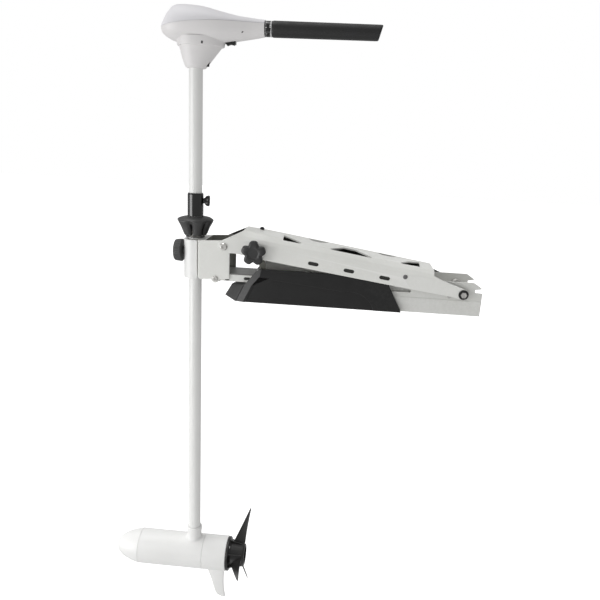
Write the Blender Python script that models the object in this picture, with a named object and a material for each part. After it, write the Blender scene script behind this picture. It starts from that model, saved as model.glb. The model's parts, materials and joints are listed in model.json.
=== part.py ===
"""Bow-mount trolling motor: deck base, folding arm, steering column, shaft, head and lower unit.

Units are metres and +Z is up. The origin lies on the deck under the middle of the base.
-X points over the bow, +X aft, and -Y is the port side. The motor is modelled deployed and steered straight.
"""
import math

import bmesh
import bpy
from mathutils import Matrix, Vector

GAP = 0.0003
FINE = 32
MEDIUM = 20
COARSE = 12

# main positions
SHAFT_X = -0.350
MOTOR_Z = -0.675
GRIP_Z = 0.555
ARM_PIVOT = Vector((0.232, 0.0, 0.047))
ARM_TILT = math.radians(7.7)
ARM_LENGTH = 0.5146
LINK_PIVOT = Vector((0.204, 0.0, 0.040))
LINK_EYE = Vector((-0.2962, 0.0, 0.0444))
LATCH = Vector((-0.2102, 0.0, 0.110))
CLAMP_KNOB_Z = 0.095
THUMB_SCREW_Z = 0.206
ROCKER = Vector((-0.278, 0.0, 0.526))

# deck base
BASE_HALF = 0.046
BASE_WALL = 0.003
BASE_FLOOR = 0.004
BASE_HEIGHT = 0.072
BASE_FRONT = -0.245
BASE_REAR = 0.2708
SKIRT_HEIGHT = 0.034
SKIRT_FRONT = 0.1072
SKIRT_SLANT = 0.0172
COVER_TOP_HALF = 0.0525
COVER_DRAFT = 0.0050
COVER_WALL = 0.0025
COVER_BEVEL = 0.0042

# arm, in its own level frame with the rear pivot at the origin
ARM_HALF = 0.053
ARM_FRONT_HALF = 0.044
ARM_WALL = 0.003
ARM_LOW = -0.010
ARM_SHOULDER = 0.022
ARM_SHOULDER_INSET = 0.014
ARM_TOP_REAR = 0.0365
ARM_TOP_RISE = 0.0125
EAR_RADIUS = 0.014
TAIL_RADIUS = 0.0110
BUSH_RADIUS = 0.0073
FLANGE_RADIUS = 0.0105
INNER_HEAD = 0.0135

# lower link
LINK_HALF = 0.036
LINK_WALL = 0.0025
LINK_LOW = 0.0399
LINK_TOP = 0.0567

# column
BLOCK_HALF = 0.040
BLOCK_WALL = 0.003
COLUMN_BORE = 0.0165
SHAFT_RADIUS = 0.0143
SHAFT_INNER = 0.0115
CAP_RADIUS = 0.0245
CAP_FACE = -0.3402
BLOCK_LOW = 0.040
BLOCK_TOP = 0.124
KNOB_BASE = 0.131
KNOB_TOP = 0.172
PETALS = 6
COLLET_RADIUS = 0.0160
COLLAR_TOP = 0.222

# lower unit, distances along X from the shaft axis
HOUSING_RADIUS = 0.042
HOUSING_INNER = 0.038
HOUSING_FRONT = -0.135
HOUSING_REAR = 0.026
NOSE_TIP = -0.1975
NOSE_BLUNT = 1.3
NOSE_FLARE = 0.42
CAP_REAR = 0.085
BULKHEAD = (0.064, 0.073)
MOTOR_SHAFT = 0.005
MOTOR_SHAFT_END = 0.124
PROP_RADIUS = 0.112
PROP_PHASE = math.radians(57.8)
PROP_PITCH = 0.240
PROP_SWEEP = 0.010
HUB_FRONT = 0.0858
HUB_WEB = 0.114
HUB_REAR = 0.129

PIN_X = SHAFT_X + 0.0905

PIVOTS = {}
MATERIALS = {}


def clear_scene():
    for item in list(bpy.data.objects):
        bpy.data.objects.remove(item, do_unlink=True)


def material(name, colour, roughness, metallic=0.0):
    result = bpy.data.materials.new(name)
    result.use_nodes = True
    shader = result.node_tree.nodes["Principled BSDF"]
    shader.inputs["Base Color"].default_value = (*colour, 1.0)
    shader.inputs["Roughness"].default_value = roughness
    shader.inputs["Metallic"].default_value = metallic
    result.diffuse_color = (*colour, 1.0)
    MATERIALS[name] = result


def make_materials():
    material("white_paint", (0.80, 0.80, 0.78), 0.38)
    material("white_plastic", (0.82, 0.81, 0.79), 0.42)
    material("black_plastic", (0.025, 0.025, 0.027), 0.48)
    material("black_rubber", (0.03, 0.03, 0.03), 0.75)
    material("steel", (0.55, 0.55, 0.56), 0.30, 1.0)
    material("copper", (0.70, 0.32, 0.17), 0.35, 1.0)
    material("magnet", (0.12, 0.12, 0.13), 0.60)
    material("nylon", (0.70, 0.69, 0.64), 0.55)
    material("circuit_board", (0.05, 0.22, 0.09), 0.50)


def pivot(name, location, parent=None):
    """An empty on a joint's axis. Everything that turns or slides on that joint is parented to it."""
    empty = bpy.data.objects.new(name, None)
    bpy.context.collection.objects.link(empty)
    PIVOTS[name] = Vector(location)
    empty.location = PIVOTS[name]
    if parent:
        empty.parent = bpy.data.objects[parent]
        empty.location = PIVOTS[name] - PIVOTS[parent]


def place(name, shape, finish, parent, origin=None, tilt=0.0):
    """Turn a bmesh in world coordinates into an object with its origin at origin or on its parent's pivot."""
    origin = Vector(origin) if origin is not None else PIVOTS[parent]
    bmesh.ops.translate(shape, verts=shape.verts, vec=-origin)
    bmesh.ops.recalc_face_normals(shape, faces=shape.faces)
    mesh = bpy.data.meshes.new(name)
    shape.to_mesh(mesh)
    shape.free()
    mesh.shade_smooth()
    mesh.set_sharp_from_angle(angle=math.radians(32))
    mesh.materials.append(MATERIALS[finish])
    item = bpy.data.objects.new(name, mesh)
    bpy.context.collection.objects.link(item)
    item.parent = bpy.data.objects[parent]
    item.location = origin - PIVOTS[parent]
    item.rotation_euler = (0.0, tilt, 0.0)
    return item


def combine(item, shape, operation, label):
    """Cut a shape, in world coordinates, from an object, or join it on."""
    cutter_mesh = bpy.data.meshes.new(f"{item.name}_{label}")
    bmesh.ops.recalc_face_normals(shape, faces=shape.faces)
    origin = PIVOTS[item.parent.name] + item.location
    bmesh.ops.translate(shape, verts=shape.verts, vec=-origin)
    shape.to_mesh(cutter_mesh)
    shape.free()
    cutter = bpy.data.objects.new(cutter_mesh.name, cutter_mesh)
    bpy.context.collection.objects.link(cutter)
    cutter.parent = item.parent
    cutter.location = item.location
    cutter.rotation_euler = item.rotation_euler
    cutter.hide_render = True
    cutter.display_type = "WIRE"
    modifier = item.modifiers.new(label, "BOOLEAN")
    modifier.operation = operation
    modifier.object = cutter


def cut(item, shape, label):
    combine(item, shape, "DIFFERENCE", label)


def join(item, shape, label):
    combine(item, shape, "UNION", label)


def to_axis(along, first, second, axis):
    """A point from its place along an axis and its two other coordinates, in X, Y, Z order."""
    if axis == "X":
        return Vector((along, first, second))
    if axis == "Y":
        return Vector((first, along, second))
    return Vector((first, second, along))


def loft(rings):
    """A closed solid through rings of equal point counts, capped at both ends."""
    shape = bmesh.new()
    loops = [[shape.verts.new(point) for point in ring] for ring in rings]
    for near, far in zip(loops, loops[1:]):
        for index in range(len(near)):
            following = (index + 1) % len(near)
            shape.faces.new((near[index], near[following], far[following], far[index]))
    shape.faces.new(loops[0])
    shape.faces.new(list(reversed(loops[-1])))
    bmesh.ops.recalc_face_normals(shape, faces=shape.faces)
    return shape


def prism(outline, low, high, axis="Y"):
    """An outline pushed along an axis from low to high."""
    return loft([[to_axis(along, *point, axis) for point in outline] for along in (low, high)])


def box(low, high):
    outline = [(low[0], low[2]), (high[0], low[2]), (high[0], high[2]), (low[0], high[2])]
    return prism(outline, low[1], high[1], "Y")


def turned(profile, axis, centre, steps=MEDIUM, closed=True):
    """Spin a profile of (along, radius) about an axis. An open profile starts and ends on the axis."""
    shape = bmesh.new()
    centre = Vector(centre)
    verts = [shape.verts.new(to_axis(along, radius, 0.0, axis) + centre) for along, radius in profile]
    edges = [shape.edges.new(pair) for pair in zip(verts, verts[1:])]
    if closed:
        edges.append(shape.edges.new((verts[-1], verts[0])))
    spin_axis = to_axis(1.0, 0.0, 0.0, axis)
    bmesh.ops.spin(shape, geom=verts + edges, cent=centre, axis=spin_axis, angle=math.tau, steps=steps,
                   use_merge=True)
    bmesh.ops.remove_doubles(shape, verts=shape.verts, dist=0.000001)
    return shape


def rod(radius, low, high, axis, centre, steps=MEDIUM):
    return turned([(low, 0.0), (low, radius), (high, radius), (high, 0.0)], axis, centre, steps, closed=False)


def tube(inner, outer, low, high, axis, centre, steps=MEDIUM):
    return turned([(low, inner), (low, outer), (high, outer), (high, inner)], axis, centre, steps)


def lobed(stations, lobes, depth, axis, centre, phase=0.0, steps=60, narrow=1.5):
    """A knob: rings of (along, radius, share of the lobe depth) whose radius waves around the axis."""
    rings = []
    for along, radius, share in stations:
        ring = []
        for index in range(steps):
            angle = math.tau * index / steps
            wave = 0.5 - 0.5 * math.cos(lobes * (angle - phase))
            reach = radius - depth * share * wave ** narrow
            point = to_axis(along, reach * math.cos(angle), reach * math.sin(angle), axis)
            ring.append(point + Vector(centre))
        rings.append(ring)
    return loft(rings)


def arc(centre, radius, start, end, count):
    """Points on a circle between two angles in degrees, as (first, second) pairs."""
    angles = [math.radians(start + (end - start) * index / (count - 1)) for index in range(count)]
    return [(centre[0] + radius * math.cos(a), centre[1] + radius * math.sin(a)) for a in angles]


def slot_outline(centre, length, width, turn=0.0):
    half = (length - width) / 2
    ends = arc((half, 0.0), width / 2, -90, 90, 6) + arc((-half, 0.0), width / 2, 90, 270, 6)
    c, s = math.cos(turn), math.sin(turn)
    return [(centre[0] + x * c - z * s, centre[1] + x * s + z * c) for x, z in ends]


def make_pivots():
    eye = ARM_PIVOT + Matrix.Rotation(ARM_TILT, 3, "Y") @ Vector((-ARM_LENGTH, 0.0, 0.0))
    pivot("mount", (0.0, 0.0, 0.0))
    pivot("arm", ARM_PIVOT, "mount")
    pivot("link", LINK_PIVOT, "mount")
    pivot("star_knob_axis", LATCH, "mount")
    pivot("column", eye, "arm")
    pivot("tension_axis", (SHAFT_X, 0.0, KNOB_BASE), "column")
    pivot("clamp_axis", (SHAFT_X, 0.0, CLAMP_KNOB_Z), "column")
    pivot("steer", (SHAFT_X, 0.0, KNOB_TOP), "column")
    pivot("thumb_axis", (SHAFT_X, 0.0, THUMB_SCREW_Z), "steer")
    pivot("depth", (SHAFT_X, 0.0, KNOB_TOP), "steer")
    pivot("prop_axis", (SHAFT_X, 0.0, MOTOR_Z), "depth")
    pivot("grip_axis", (SHAFT_X, 0.0, GRIP_Z), "depth")
    pivot("rocker_axis", ROCKER, "depth")


# ---- deck base ----

def base_channel():
    hook = [(BASE_REAR + 0.001, 0.050), (BASE_REAR - 0.014, 0.0505), (BASE_REAR - 0.015, 0.0575),
            (BASE_REAR + 0.0006, 0.0598), (BASE_REAR - 0.0175, BASE_HEIGHT)]
    outline = [(BASE_FRONT, 0.0), (BASE_REAR, 0.0)] + hook + [(-0.203, BASE_HEIGHT)]
    item = place("base_channel", prism(outline, -BASE_HALF, BASE_HALF), "white_paint", "mount")
    inner = BASE_HALF - BASE_WALL
    cut(item, box((-0.3, -inner, BASE_FLOOR), (0.3, inner, 0.1)), "trough")
    for side in (-1, 1):
        low, high = sorted((side * (BASE_HALF - 0.0005), side * (BASE_HALF + 0.0015)))
        skirt = [(SKIRT_FRONT, 0.0), (BASE_REAR - 0.0002, 0.0), (BASE_REAR - 0.0002, SKIRT_HEIGHT),
                 (SKIRT_FRONT - SKIRT_SLANT, SKIRT_HEIGHT)]
        join(item, prism(skirt, low, high), "port_skirt" if side < 0 else "starboard_skirt")
    window = [(0.068, 0.043), (0.1245, 0.043), (0.1225, 0.0495), (0.078, 0.056), (0.062, 0.056)]
    cut(item, prism(window, -0.06, 0.06), "windows")
    for centre, radius, label in ((ARM_PIVOT, 0.0053, "pivot_hole"), (LINK_PIVOT, 0.0043, "link_hole")):
        cut(item, rod(radius, -0.06, 0.06, "Y", (centre.x, 0.0, centre.z)), label)
    for index, (x, y) in enumerate(((-0.18, -0.028), (-0.18, 0.028), (0.15, -0.028), (0.15, 0.028))):
        cut(item, rod(0.0035, -0.01, 0.01, "Z", (x, y, 0.0), COARSE), f"deck_hole_{index}")


def nose_cover():
    """A short prow of two sloping facets. It fits over the slanted front of the base channel."""
    def outer(inset):
        low = 0.0005 if inset == 0.0 else -0.01
        front = -0.281 + 1.5 * inset
        bottom = [(front, 0.004), (-0.2490 + inset, 0.0530 - inset), (-0.2430, 0.0476 - inset)]
        top = [(front + 0.0146, 0.004), (-0.2325 + inset, 0.0500 - inset), (-0.2246, 0.0474 - inset)]
        heights = (0.0256 - inset, 0.0370 - inset, 0.0370 - inset)
        ring_low = [Vector((x, -y, low)) for x, y in reversed(bottom)]
        ring_low += [Vector((x, y, low)) for x, y in bottom]
        port = [Vector((x, -y, z)) for (x, y), z in zip(top, heights)]
        starboard = [Vector((x, y, z)) for (x, y), z in zip(top, heights)]
        return loft([ring_low, list(reversed(port)) + starboard])

    item = place("nose_cover", outer(0.0), "black_plastic", "mount")
    cut(item, outer(0.003), "hollow")
    reach = BASE_HALF + GAP
    slant = [(BASE_FRONT - 0.0064, -0.01), (0.0, -0.01), (0.0, 0.08), (-0.1989, 0.08)]
    cut(item, prism(slant, -reach, reach), "base_clearance")


def side_cover(name, side):
    """A moulded panel over the base's side. Its outer face leans out, and its front edge is a broad bevel."""
    rest = [(0.1057, 0.0006), (0.0765, 0.0570), (-0.034, 0.0725)]
    inner = [(-0.2204, 0.0375), (-0.2412, 0.0006)] + rest + [(-0.1990, 0.0732), (-0.2030, 0.0690)]
    middle = [(-0.2306, 0.0375), (-0.2478, 0.0006)] + rest + [(-0.1990, 0.0732), (-0.2055, 0.0690)]
    outer = [(-0.2146, 0.0375), (-0.2320, 0.0006)] + rest + [(-0.1800, 0.0732), (-0.1866, 0.0700)]
    near = [Vector((x, side * (BASE_HALF + GAP), z)) for x, z in inner]
    between = [Vector((x, side * (cover_reach(z) - COVER_BEVEL), z)) for x, z in middle]
    far = [Vector((x, side * cover_reach(z), z)) for x, z in outer]
    item = place(name, loft([near, between, far]), "black_plastic", "mount")
    pocket = [(-0.226, 0.004), (0.0995, 0.004), (0.0740, 0.0545), (-0.035, 0.0695), (-0.184, 0.0695)]
    near = [Vector((x, side * 0.040, z)) for x, z in pocket]
    far = [Vector((x, side * (cover_reach(z) - COVER_WALL), z)) for x, z in pocket]
    cut(item, loft([near, far]), "pocket")


def cover_reach(z):
    """How far the side cover's outer face stands from the middle at one height."""
    return COVER_TOP_HALF + COVER_DRAFT * (1.0 - z / BASE_HEIGHT)


def latch():
    inside = -(BASE_HALF - BASE_WALL - GAP)
    rear_edge = [(-0.178, 0.040), (-0.168, 0.046), (-0.1865, 0.070), (-0.1885, 0.090), (-0.199, 0.120)]
    top = [(-0.205, 0.125), (-0.217, 0.124), (-0.221, 0.112), (-0.215, 0.102)]
    outline = rear_edge + top + [(-0.2040, 0.0885), (-0.1965, 0.070), (-0.190, 0.052)]
    bracket = place("latch_bracket", prism(outline, inside, inside + 0.003), "black_plastic", "mount")
    cut(bracket, rod(0.0043, -0.06, 0.0, "Y", LATCH, COARSE), "stud_hole")
    stud = turned([(-0.066, 0.0), (-0.066, 0.004), (-0.0390, 0.004), (-0.0390, 0.0065), (-0.0360, 0.0065),
                   (-0.0360, 0.0)], "Y", LATCH, COARSE, closed=False)
    place("latch_stud", stud, "steel", "mount", LATCH)
    stations = [(-0.0740, 0.017, 0.5), (-0.0725, 0.0235, 1.0), (-0.0690, 0.0260, 1.0), (-0.0620, 0.0260, 1.0),
                (-0.0580, 0.0220, 0.8), (-0.0565, 0.0120, 0.0), (-0.0536, 0.0100, 0.0)]
    shape = lobed(stations, 5, 0.0070, "Y", LATCH, math.radians(90), narrow=2.2)
    knob = place("star_knob", shape, "black_plastic", "star_knob_axis")
    cut(knob, rod(0.0043, -0.0665, -0.04, "Y", LATCH, COARSE), "bore")


def base_fasteners():
    """Stub bolts hold the arm, and stop short of the middle where the lower link swings."""
    at = (ARM_PIVOT.x, 0.0, ARM_PIVOT.z)
    inner = BASE_HALF - BASE_WALL - GAP
    outer = ARM_HALF + 0.0021
    for name, side in (("pivot_bolt_port", -1), ("pivot_bolt_starboard", 1)):
        head = [(inner - 0.0045, 0.0), (inner - 0.0045, FLANGE_RADIUS), (inner - 0.0020, INNER_HEAD),
                (inner, INNER_HEAD), (inner, 0.005)]
        tip = [(outer, 0.005), (outer, 0.0066), (outer + 0.0032, 0.0066), (outer + 0.0040, 0.0058),
               (outer + 0.0040, 0.0)]
        profile = head + tip
        bolt = turned([(side * along, radius) for along, radius in profile], "Y", at, COARSE, closed=False)
        place(name, bolt, "steel", "mount", at)
    pin = rod(0.004, -0.0475, 0.0475, "Y", LINK_PIVOT)
    place("link_pin", pin, "steel", "mount", LINK_PIVOT)


def widen_bore(shape, radius, centre):
    """A hexagon's flats come closer than its corners, so a six-sided bore is opened until its flats clear."""
    factor = 1.0 / math.cos(math.pi / 6)
    for vert in shape.verts:
        offset = Vector((vert.co.x - centre[0], 0.0, vert.co.z - centre[2]))
        if offset.length < radius * 1.01:
            vert.co += offset * (factor - 1.0)
    return shape


# ---- arm ----

def arm_section(x):
    """The folded sheet's cross-section at one place along the arm: outer skin, then inner skin."""
    blend = min(max((x + 0.480) / 0.060, 0.0), 1.0)
    blend = blend * blend * (3.0 - 2.0 * blend)
    half = ARM_FRONT_HALF + (ARM_HALF - ARM_FRONT_HALF) * blend
    top = ARM_TOP_REAR + ARM_TOP_RISE * (-x - 0.075)
    low = -0.020
    inset = ARM_SHOULDER_INSET
    outer = [(-half, low), (-half, ARM_SHOULDER), (-half + 0.004, ARM_SHOULDER + 0.008), (-half + inset, top)]
    wall = ARM_WALL
    inner = [(-half + wall, low), (-half + wall, ARM_SHOULDER - 0.001),
             (-half + 0.004 + wall * 0.8, ARM_SHOULDER + 0.0065), (-half + inset + 0.001, top - wall)]
    outer += [(-y, z) for y, z in reversed(outer)]
    inner += [(-y, z) for y, z in reversed(inner)]
    return [Vector((x, y, z)) for y, z in outer + list(reversed(inner))]


def arm_outline():
    """The arm's side view: front ear, top, rear tail and lower edge."""
    front = arc((-ARM_LENGTH, 0.0), EAR_RADIUS, 270, 130, 8)
    top = [(-0.480, 0.0395), (-0.474, 0.055), (-0.070, 0.055), (-0.068, 0.0262), (-0.0455, 0.0202)]
    top.append((-0.018, 0.0152))
    tail = arc((0.0, 0.0), TAIL_RADIUS, 75, -100, 9)
    low = [(-0.0225, -0.0092), (-0.110, ARM_LOW), (-0.492, ARM_LOW)]
    return front + top + tail + low


def shift(outline):
    return [(x + ARM_PIVOT.x, z + ARM_PIVOT.z) for x, z in outline]


def arm_channel():
    places = [-0.535, -0.500, -0.480, -0.465, -0.450, -0.435, -0.420, 0.018]
    shape = loft([arm_section(x) for x in places])
    bmesh.ops.translate(shape, verts=shape.verts, vec=ARM_PIVOT)
    item = place("arm_channel", shape, "white_paint", "arm", tilt=ARM_TILT)
    combine(item, prism(shift(arm_outline()), -0.07, 0.07), "INTERSECT", "side_view")
    above = (ARM_PIVOT.z + 0.0245, ARM_PIVOT.z + 0.06)
    windows = {
        "window_1": [(-0.396, 0.008), (-0.3925, -0.0415), (-0.350, -0.0408)],
        "window_2": [(-0.2915, -0.0370), (-0.2625, 0.0084), (-0.2352, 0.0068), (-0.199, -0.0402),
                     (-0.289, -0.0402)],
        "window_3": [(-0.1406, -0.0315), (-0.1198, 0.0034), (-0.095, 0.0206), (-0.098, -0.0320),
                     (-0.1362, -0.0386)],
        "window_4": [(-0.346, 0.031), (-0.333, 0.012), (-0.312, 0.012), (-0.296, 0.031)],
        "window_5": [(-0.190, 0.033), (-0.178, 0.017), (-0.158, 0.017), (-0.142, 0.033)],
    }
    for label, outline in windows.items():
        outline = [(x + ARM_PIVOT.x, y) for x, y in outline]
        cut(item, prism(outline, *above, "Z"), label)
    for index, x in enumerate((-0.3200, -0.2437, -0.1676)):
        cut(item, prism(shift(slot_outline((x, 0.0026), 0.0225, 0.0080)), -0.07, 0.07), f"slot_{index}")
    cut(item, prism(shift([(-0.4555, -0.03), (-0.4395, -0.03), (-0.4395, 0.011), (-0.4430, 0.0140),
                           (-0.4520, 0.0140), (-0.4555, 0.011)]), -0.07, -0.03), "latch_slot")
    holes = (((0.0, 0.0), BUSH_RADIUS + GAP, "tail_holes"), ((-ARM_LENGTH, 0.0), 0.0053, "ear_holes"),
             ((-0.1262, 0.0136), 0.0043, "pin_holes"))
    for (x, z), radius, label in holes:
        cut(item, rod(radius, -0.07, 0.07, "Y", (x + ARM_PIVOT.x, 0.0, z + ARM_PIVOT.z)), label)


def arm_point(x, y, z):
    """From the arm's own level frame to the world."""
    return ARM_PIVOT + Matrix.Rotation(ARM_TILT, 3, "Y") @ Vector((x, y, z))


def arm_fittings():
    pin_at = arm_point(-0.1262, 0.0, 0.0136)
    half = ARM_HALF + GAP
    port_head = [(-half - 0.0015, 0.0), (-half - 0.0015, 0.0044), (-half, 0.0049), (-half, 0.004)]
    pin_profile = port_head + [(-along, radius) for along, radius in reversed(port_head)]
    pin = turned(pin_profile, "Y", pin_at, COARSE, closed=False)
    place("arm_cross_pin", pin, "steel", "arm", pin_at)
    top = ARM_TOP_REAR + ARM_TOP_RISE * (0.447 - 0.075)
    bumper = turned([(0.0, 0.0), (0.0, 0.0055), (0.004, 0.0045), (0.0055, 0.002), (0.0055, 0.0)], "Z",
                    (0.0, 0.0, 0.0), COARSE, closed=False)
    bumper_at = arm_point(-0.447, 0.020, top + GAP + 0.0001)
    turn = Matrix.Rotation(ARM_TILT + 0.0125, 4, "Y")
    bmesh.ops.transform(bumper, matrix=Matrix.Translation(bumper_at) @ turn, verts=bumper.verts)
    place("arm_bumper", bumper, "black_rubber", "arm", bumper_at)
    for name, side in (("rear_bushing_port", -1), ("rear_bushing_starboard", 1)):
        low, middle, high = BASE_HALF + GAP, ARM_HALF + GAP, ARM_HALF + 0.0018
        profile = [(low, 0.0053), (low, BUSH_RADIUS), (middle, BUSH_RADIUS), (middle, FLANGE_RADIUS),
                   (high, FLANGE_RADIUS), (high, 0.0053)]
        ring = turned([(side * along, radius) for along, radius in profile], "Y", ARM_PIVOT)
        place(name, ring, "black_plastic", "arm", ARM_PIVOT)
    eye = PIVOTS["column"]
    reach = ARM_FRONT_HALF + GAP
    profile = [(-reach - 0.0035, 0.0), (-reach - 0.0035, 0.0060), (-reach - 0.0015, 0.0080), (-reach, 0.0080),
               (-reach, 0.005), (reach + 0.008, 0.005), (reach + 0.008, 0.0)]
    bolt = turned(profile, "Y", eye, MEDIUM, closed=False)
    place("upper_pivot_bolt", bolt, "steel", "arm", eye)
    nut = tube(0.0053, 0.0080, reach + GAP, reach + 0.006, "Y", eye, 6)
    place("upper_pivot_nut", widen_bore(nut, 0.0053, eye), "steel", "arm", eye)


def lower_link():
    front = arc((LINK_EYE.x, LINK_EYE.z), 0.010, 270, 110, 8)
    rear = arc((LINK_PIVOT.x, LINK_PIVOT.z), 0.010, 70, -90, 8)
    outline = front + [(LINK_EYE.x + 0.012, LINK_TOP), (LINK_PIVOT.x - 0.014, LINK_TOP)] + rear
    outline += [(LINK_PIVOT.x - 0.012, LINK_LOW - 0.004), (LINK_EYE.x + 0.012, LINK_LOW)]
    item = place("lower_link", prism(outline, -LINK_HALF, LINK_HALF), "white_paint", "link")
    inner = LINK_HALF - LINK_WALL
    cut(item, box((-0.32, -inner, 0.0), (0.25, inner, LINK_TOP - LINK_WALL)), "trough")
    cut(item, box((-0.32, -inner, 0.0), (LINK_EYE.x + 0.020, inner, 0.1)), "front_fork")
    cut(item, box((LINK_PIVOT.x - 0.022, -inner, 0.0), (0.25, inner, 0.1)), "rear_fork")
    for x, z, length, label in ((-0.2268, 0.0472, 0.0150, "slot_1"), (-0.271, 0.0440, 0.0110, "slot_2"),
                                (-0.10, 0.0472, 0.0300, "slot_3"), (0.05, 0.0472, 0.0300, "slot_4")):
        cut(item, prism(slot_outline((x, z), length, 0.0065), -0.06, 0.06), label)
    cut(item, rod(0.0043, -0.06, 0.06, "Y", LINK_PIVOT), "pin_hole")
    cut(item, rod(0.0050, -0.06, 0.06, "Y", LINK_EYE), "eye_hole")


# ---- column ----

def column_block():
    plan = [(-0.3372, -0.0275), (-0.3338, -0.0370), (-0.3330, -BLOCK_HALF), (-0.2655, -BLOCK_HALF)]
    plan += [(x, -y) for x, y in reversed(plan)]
    item = place("column_block", prism(plan, 0.02, 0.14, "Z"), "white_paint", "column")
    side = [(-0.350, 0.1245), (-0.2660, 0.1293), (-0.2652, 0.0449)]
    side += arc((LINK_EYE.x, LINK_EYE.z), 0.0092, -10, -170, 7)
    side += [(-0.3290, 0.0405), (-0.3333, 0.0440), (-0.350, 0.0440)]
    combine(item, prism(side, -0.06, 0.06), "INTERSECT", "side_view")
    inner = BLOCK_HALF - BLOCK_WALL
    cut(item, box((-0.319, -inner, 0.0), (-0.25, inner, 0.2)), "pocket")
    cut(item, rod(COLUMN_BORE, 0.0, 0.2, "Z", (SHAFT_X, 0.0, 0.0), FINE), "bore")
    eye = PIVOTS["column"]
    cut(item, rod(0.0053, -0.06, 0.06, "Y", eye), "eye_holes")
    cut(item, rod(0.0043, -0.06, 0.06, "Y", LINK_EYE, COARSE), "link_holes")


def column_fittings():
    centre = (SHAFT_X, 0.0, 0.0)
    outline = arc((SHAFT_X, 0.0), CAP_RADIUS, 90, 270, 17)
    outline += [(CAP_FACE, -CAP_RADIUS), (CAP_FACE, CAP_RADIUS)]
    cap = place("clamp_cap", prism(outline, 0.037, 0.1225, "Z"), "white_paint", "column", centre)
    cut(cap, rod(COLUMN_BORE, 0.0, 0.2, "Z", centre, FINE), "bore")
    cut(cap, rod(0.0043, -0.03, 0.0, "X", (SHAFT_X, 0.0, CLAMP_KNOB_Z), COARSE), "stud_hole")
    sleeve = COLUMN_BORE - GAP
    running = SHAFT_RADIUS + GAP
    place("upper_bearing", tube(running, sleeve, 0.100, 0.1220, "Z", centre, FINE), "nylon", "column", centre)
    place("lower_bearing", tube(running, sleeve, 0.042, 0.065, "Z", centre, FINE), "nylon", "column", centre)
    place("seat_washer", tube(0.0150, 0.0210, 0.1268, 0.1283, "Z", centre, FINE), "steel", "column", centre)
    collet = tube(running, COLLET_RADIUS, 0.1288, 0.146, "Z", centre, FINE)
    place("steering_collet", collet, "nylon", "column", centre)
    for name, side in (("link_bolt_port", -1), ("link_bolt_starboard", 1)):
        inner = LINK_HALF + 0.0006
        outer = BLOCK_HALF + GAP
        profile = [(inner, 0.0), (inner, 0.004), (outer, 0.004), (outer, 0.0062), (outer + 0.0025, 0.0050),
                   (outer + 0.0025, 0.0)]
        profile = [(side * along, radius) for along, radius in profile]
        bolt = turned(profile, "Y", LINK_EYE, COARSE, closed=False)
        place(name, bolt, "steel", "column", LINK_EYE)


def tension_knob():
    """A domed disc with six thick petals below it. The slots between the petals reach the collet."""
    stations = [(KNOB_BASE, 0.0235, 0.0), (0.1340, 0.0258, 0.4), (0.1480, 0.0318, 1.0), (0.1600, 0.0385, 1.0),
                (0.1632, 0.0395, 0.5), (0.1662, 0.0385, 0.2), (0.1698, 0.0300, 0.0), (KNOB_TOP, 0.0175, 0.0)]
    phase = math.radians(-90)
    knob = lobed(stations, PETALS, 0.0080, "Z", (SHAFT_X, 0.0, 0.0), phase, 72, 3.0)
    item = place("tension_knob", knob, "black_plastic", "tension_axis")
    centre = (SHAFT_X, 0.0, 0.0)
    cut(item, rod(0.0150, 0.10, 0.20, "Z", centre, FINE), "bore")
    cut(item, rod(COLLET_RADIUS + GAP, 0.10, 0.1465, "Z", centre, FINE), "collet_seat")
    for index in range(PETALS):
        turn = Matrix.Rotation(phase + math.tau * (index + 0.5) / PETALS, 4, "Z")
        wedge = [(0.0158, -0.0012), (0.050, -0.0052), (0.050, 0.0052), (0.0158, 0.0012)]
        slot = prism(wedge, 0.12, 0.1572, "Z")
        bmesh.ops.transform(slot, matrix=Matrix.Translation(centre) @ turn, verts=slot.verts)
        cut(item, slot, f"slot_{index}")


def clamp_knob():
    centre = (SHAFT_X, 0.0, CLAMP_KNOB_Z)
    stations = [(-0.0455, 0.0200, 0.4), (-0.0445, 0.0225, 0.8), (-0.0400, 0.0240, 1.0),
                (-0.0300, 0.0250, 1.0), (-0.0275, 0.0240, 0.8), (-0.0270, 0.0100, 0.0),
                (-0.0252, 0.0090, 0.0)]
    knob = place("clamp_knob", lobed(stations, 24, 0.0007, "X", centre, steps=96), "black_plastic",
                 "clamp_axis")
    cut(knob, rod(0.0043, -0.0400, -0.02, "X", centre, COARSE), "stud_seat")
    place("clamp_stud", rod(0.004, -0.0395, -0.0168, "X", centre, COARSE), "steel", "clamp_axis")


def depth_collar():
    centre = (SHAFT_X, 0.0, 0.0)
    ring = tube(SHAFT_RADIUS + GAP, 0.0172, KNOB_TOP + 0.0005, COLLAR_TOP, "Z", centre, FINE)
    item = place("depth_collar", ring, "black_plastic", "steer")
    at = (SHAFT_X, 0.0, THUMB_SCREW_Z)
    cut(item, rod(0.0033, 0.0, 0.03, "X", at, COARSE), "screw_hole")
    stations = [(0.0150, 0.0030, 0.0), (0.0175, 0.0030, 0.0), (0.0177, 0.0058, 0.0), (0.0205, 0.0058, 0.1),
                (0.0225, 0.0095, 0.8), (0.0295, 0.0118, 1.0), (0.0315, 0.0100, 1.0)]
    screw = lobed(stations, 2, 0.0068, "X", at, math.radians(80), 32, 0.7)
    place("collar_screw", screw, "black_plastic", "thumb_axis")


# ---- shaft and lower unit ----

def shaft_parts():
    centre = (SHAFT_X, 0.0, 0.0)
    low, high = MOTOR_Z + 0.0405, 0.500
    place("shaft_tube", tube(SHAFT_INNER, SHAFT_RADIUS, low, high, "Z", centre, FINE), "white_paint", "depth")
    place("motor_leads", rod(0.005, MOTOR_Z + 0.041, 0.512, "Z", centre, COARSE), "black_rubber", "depth")


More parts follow.
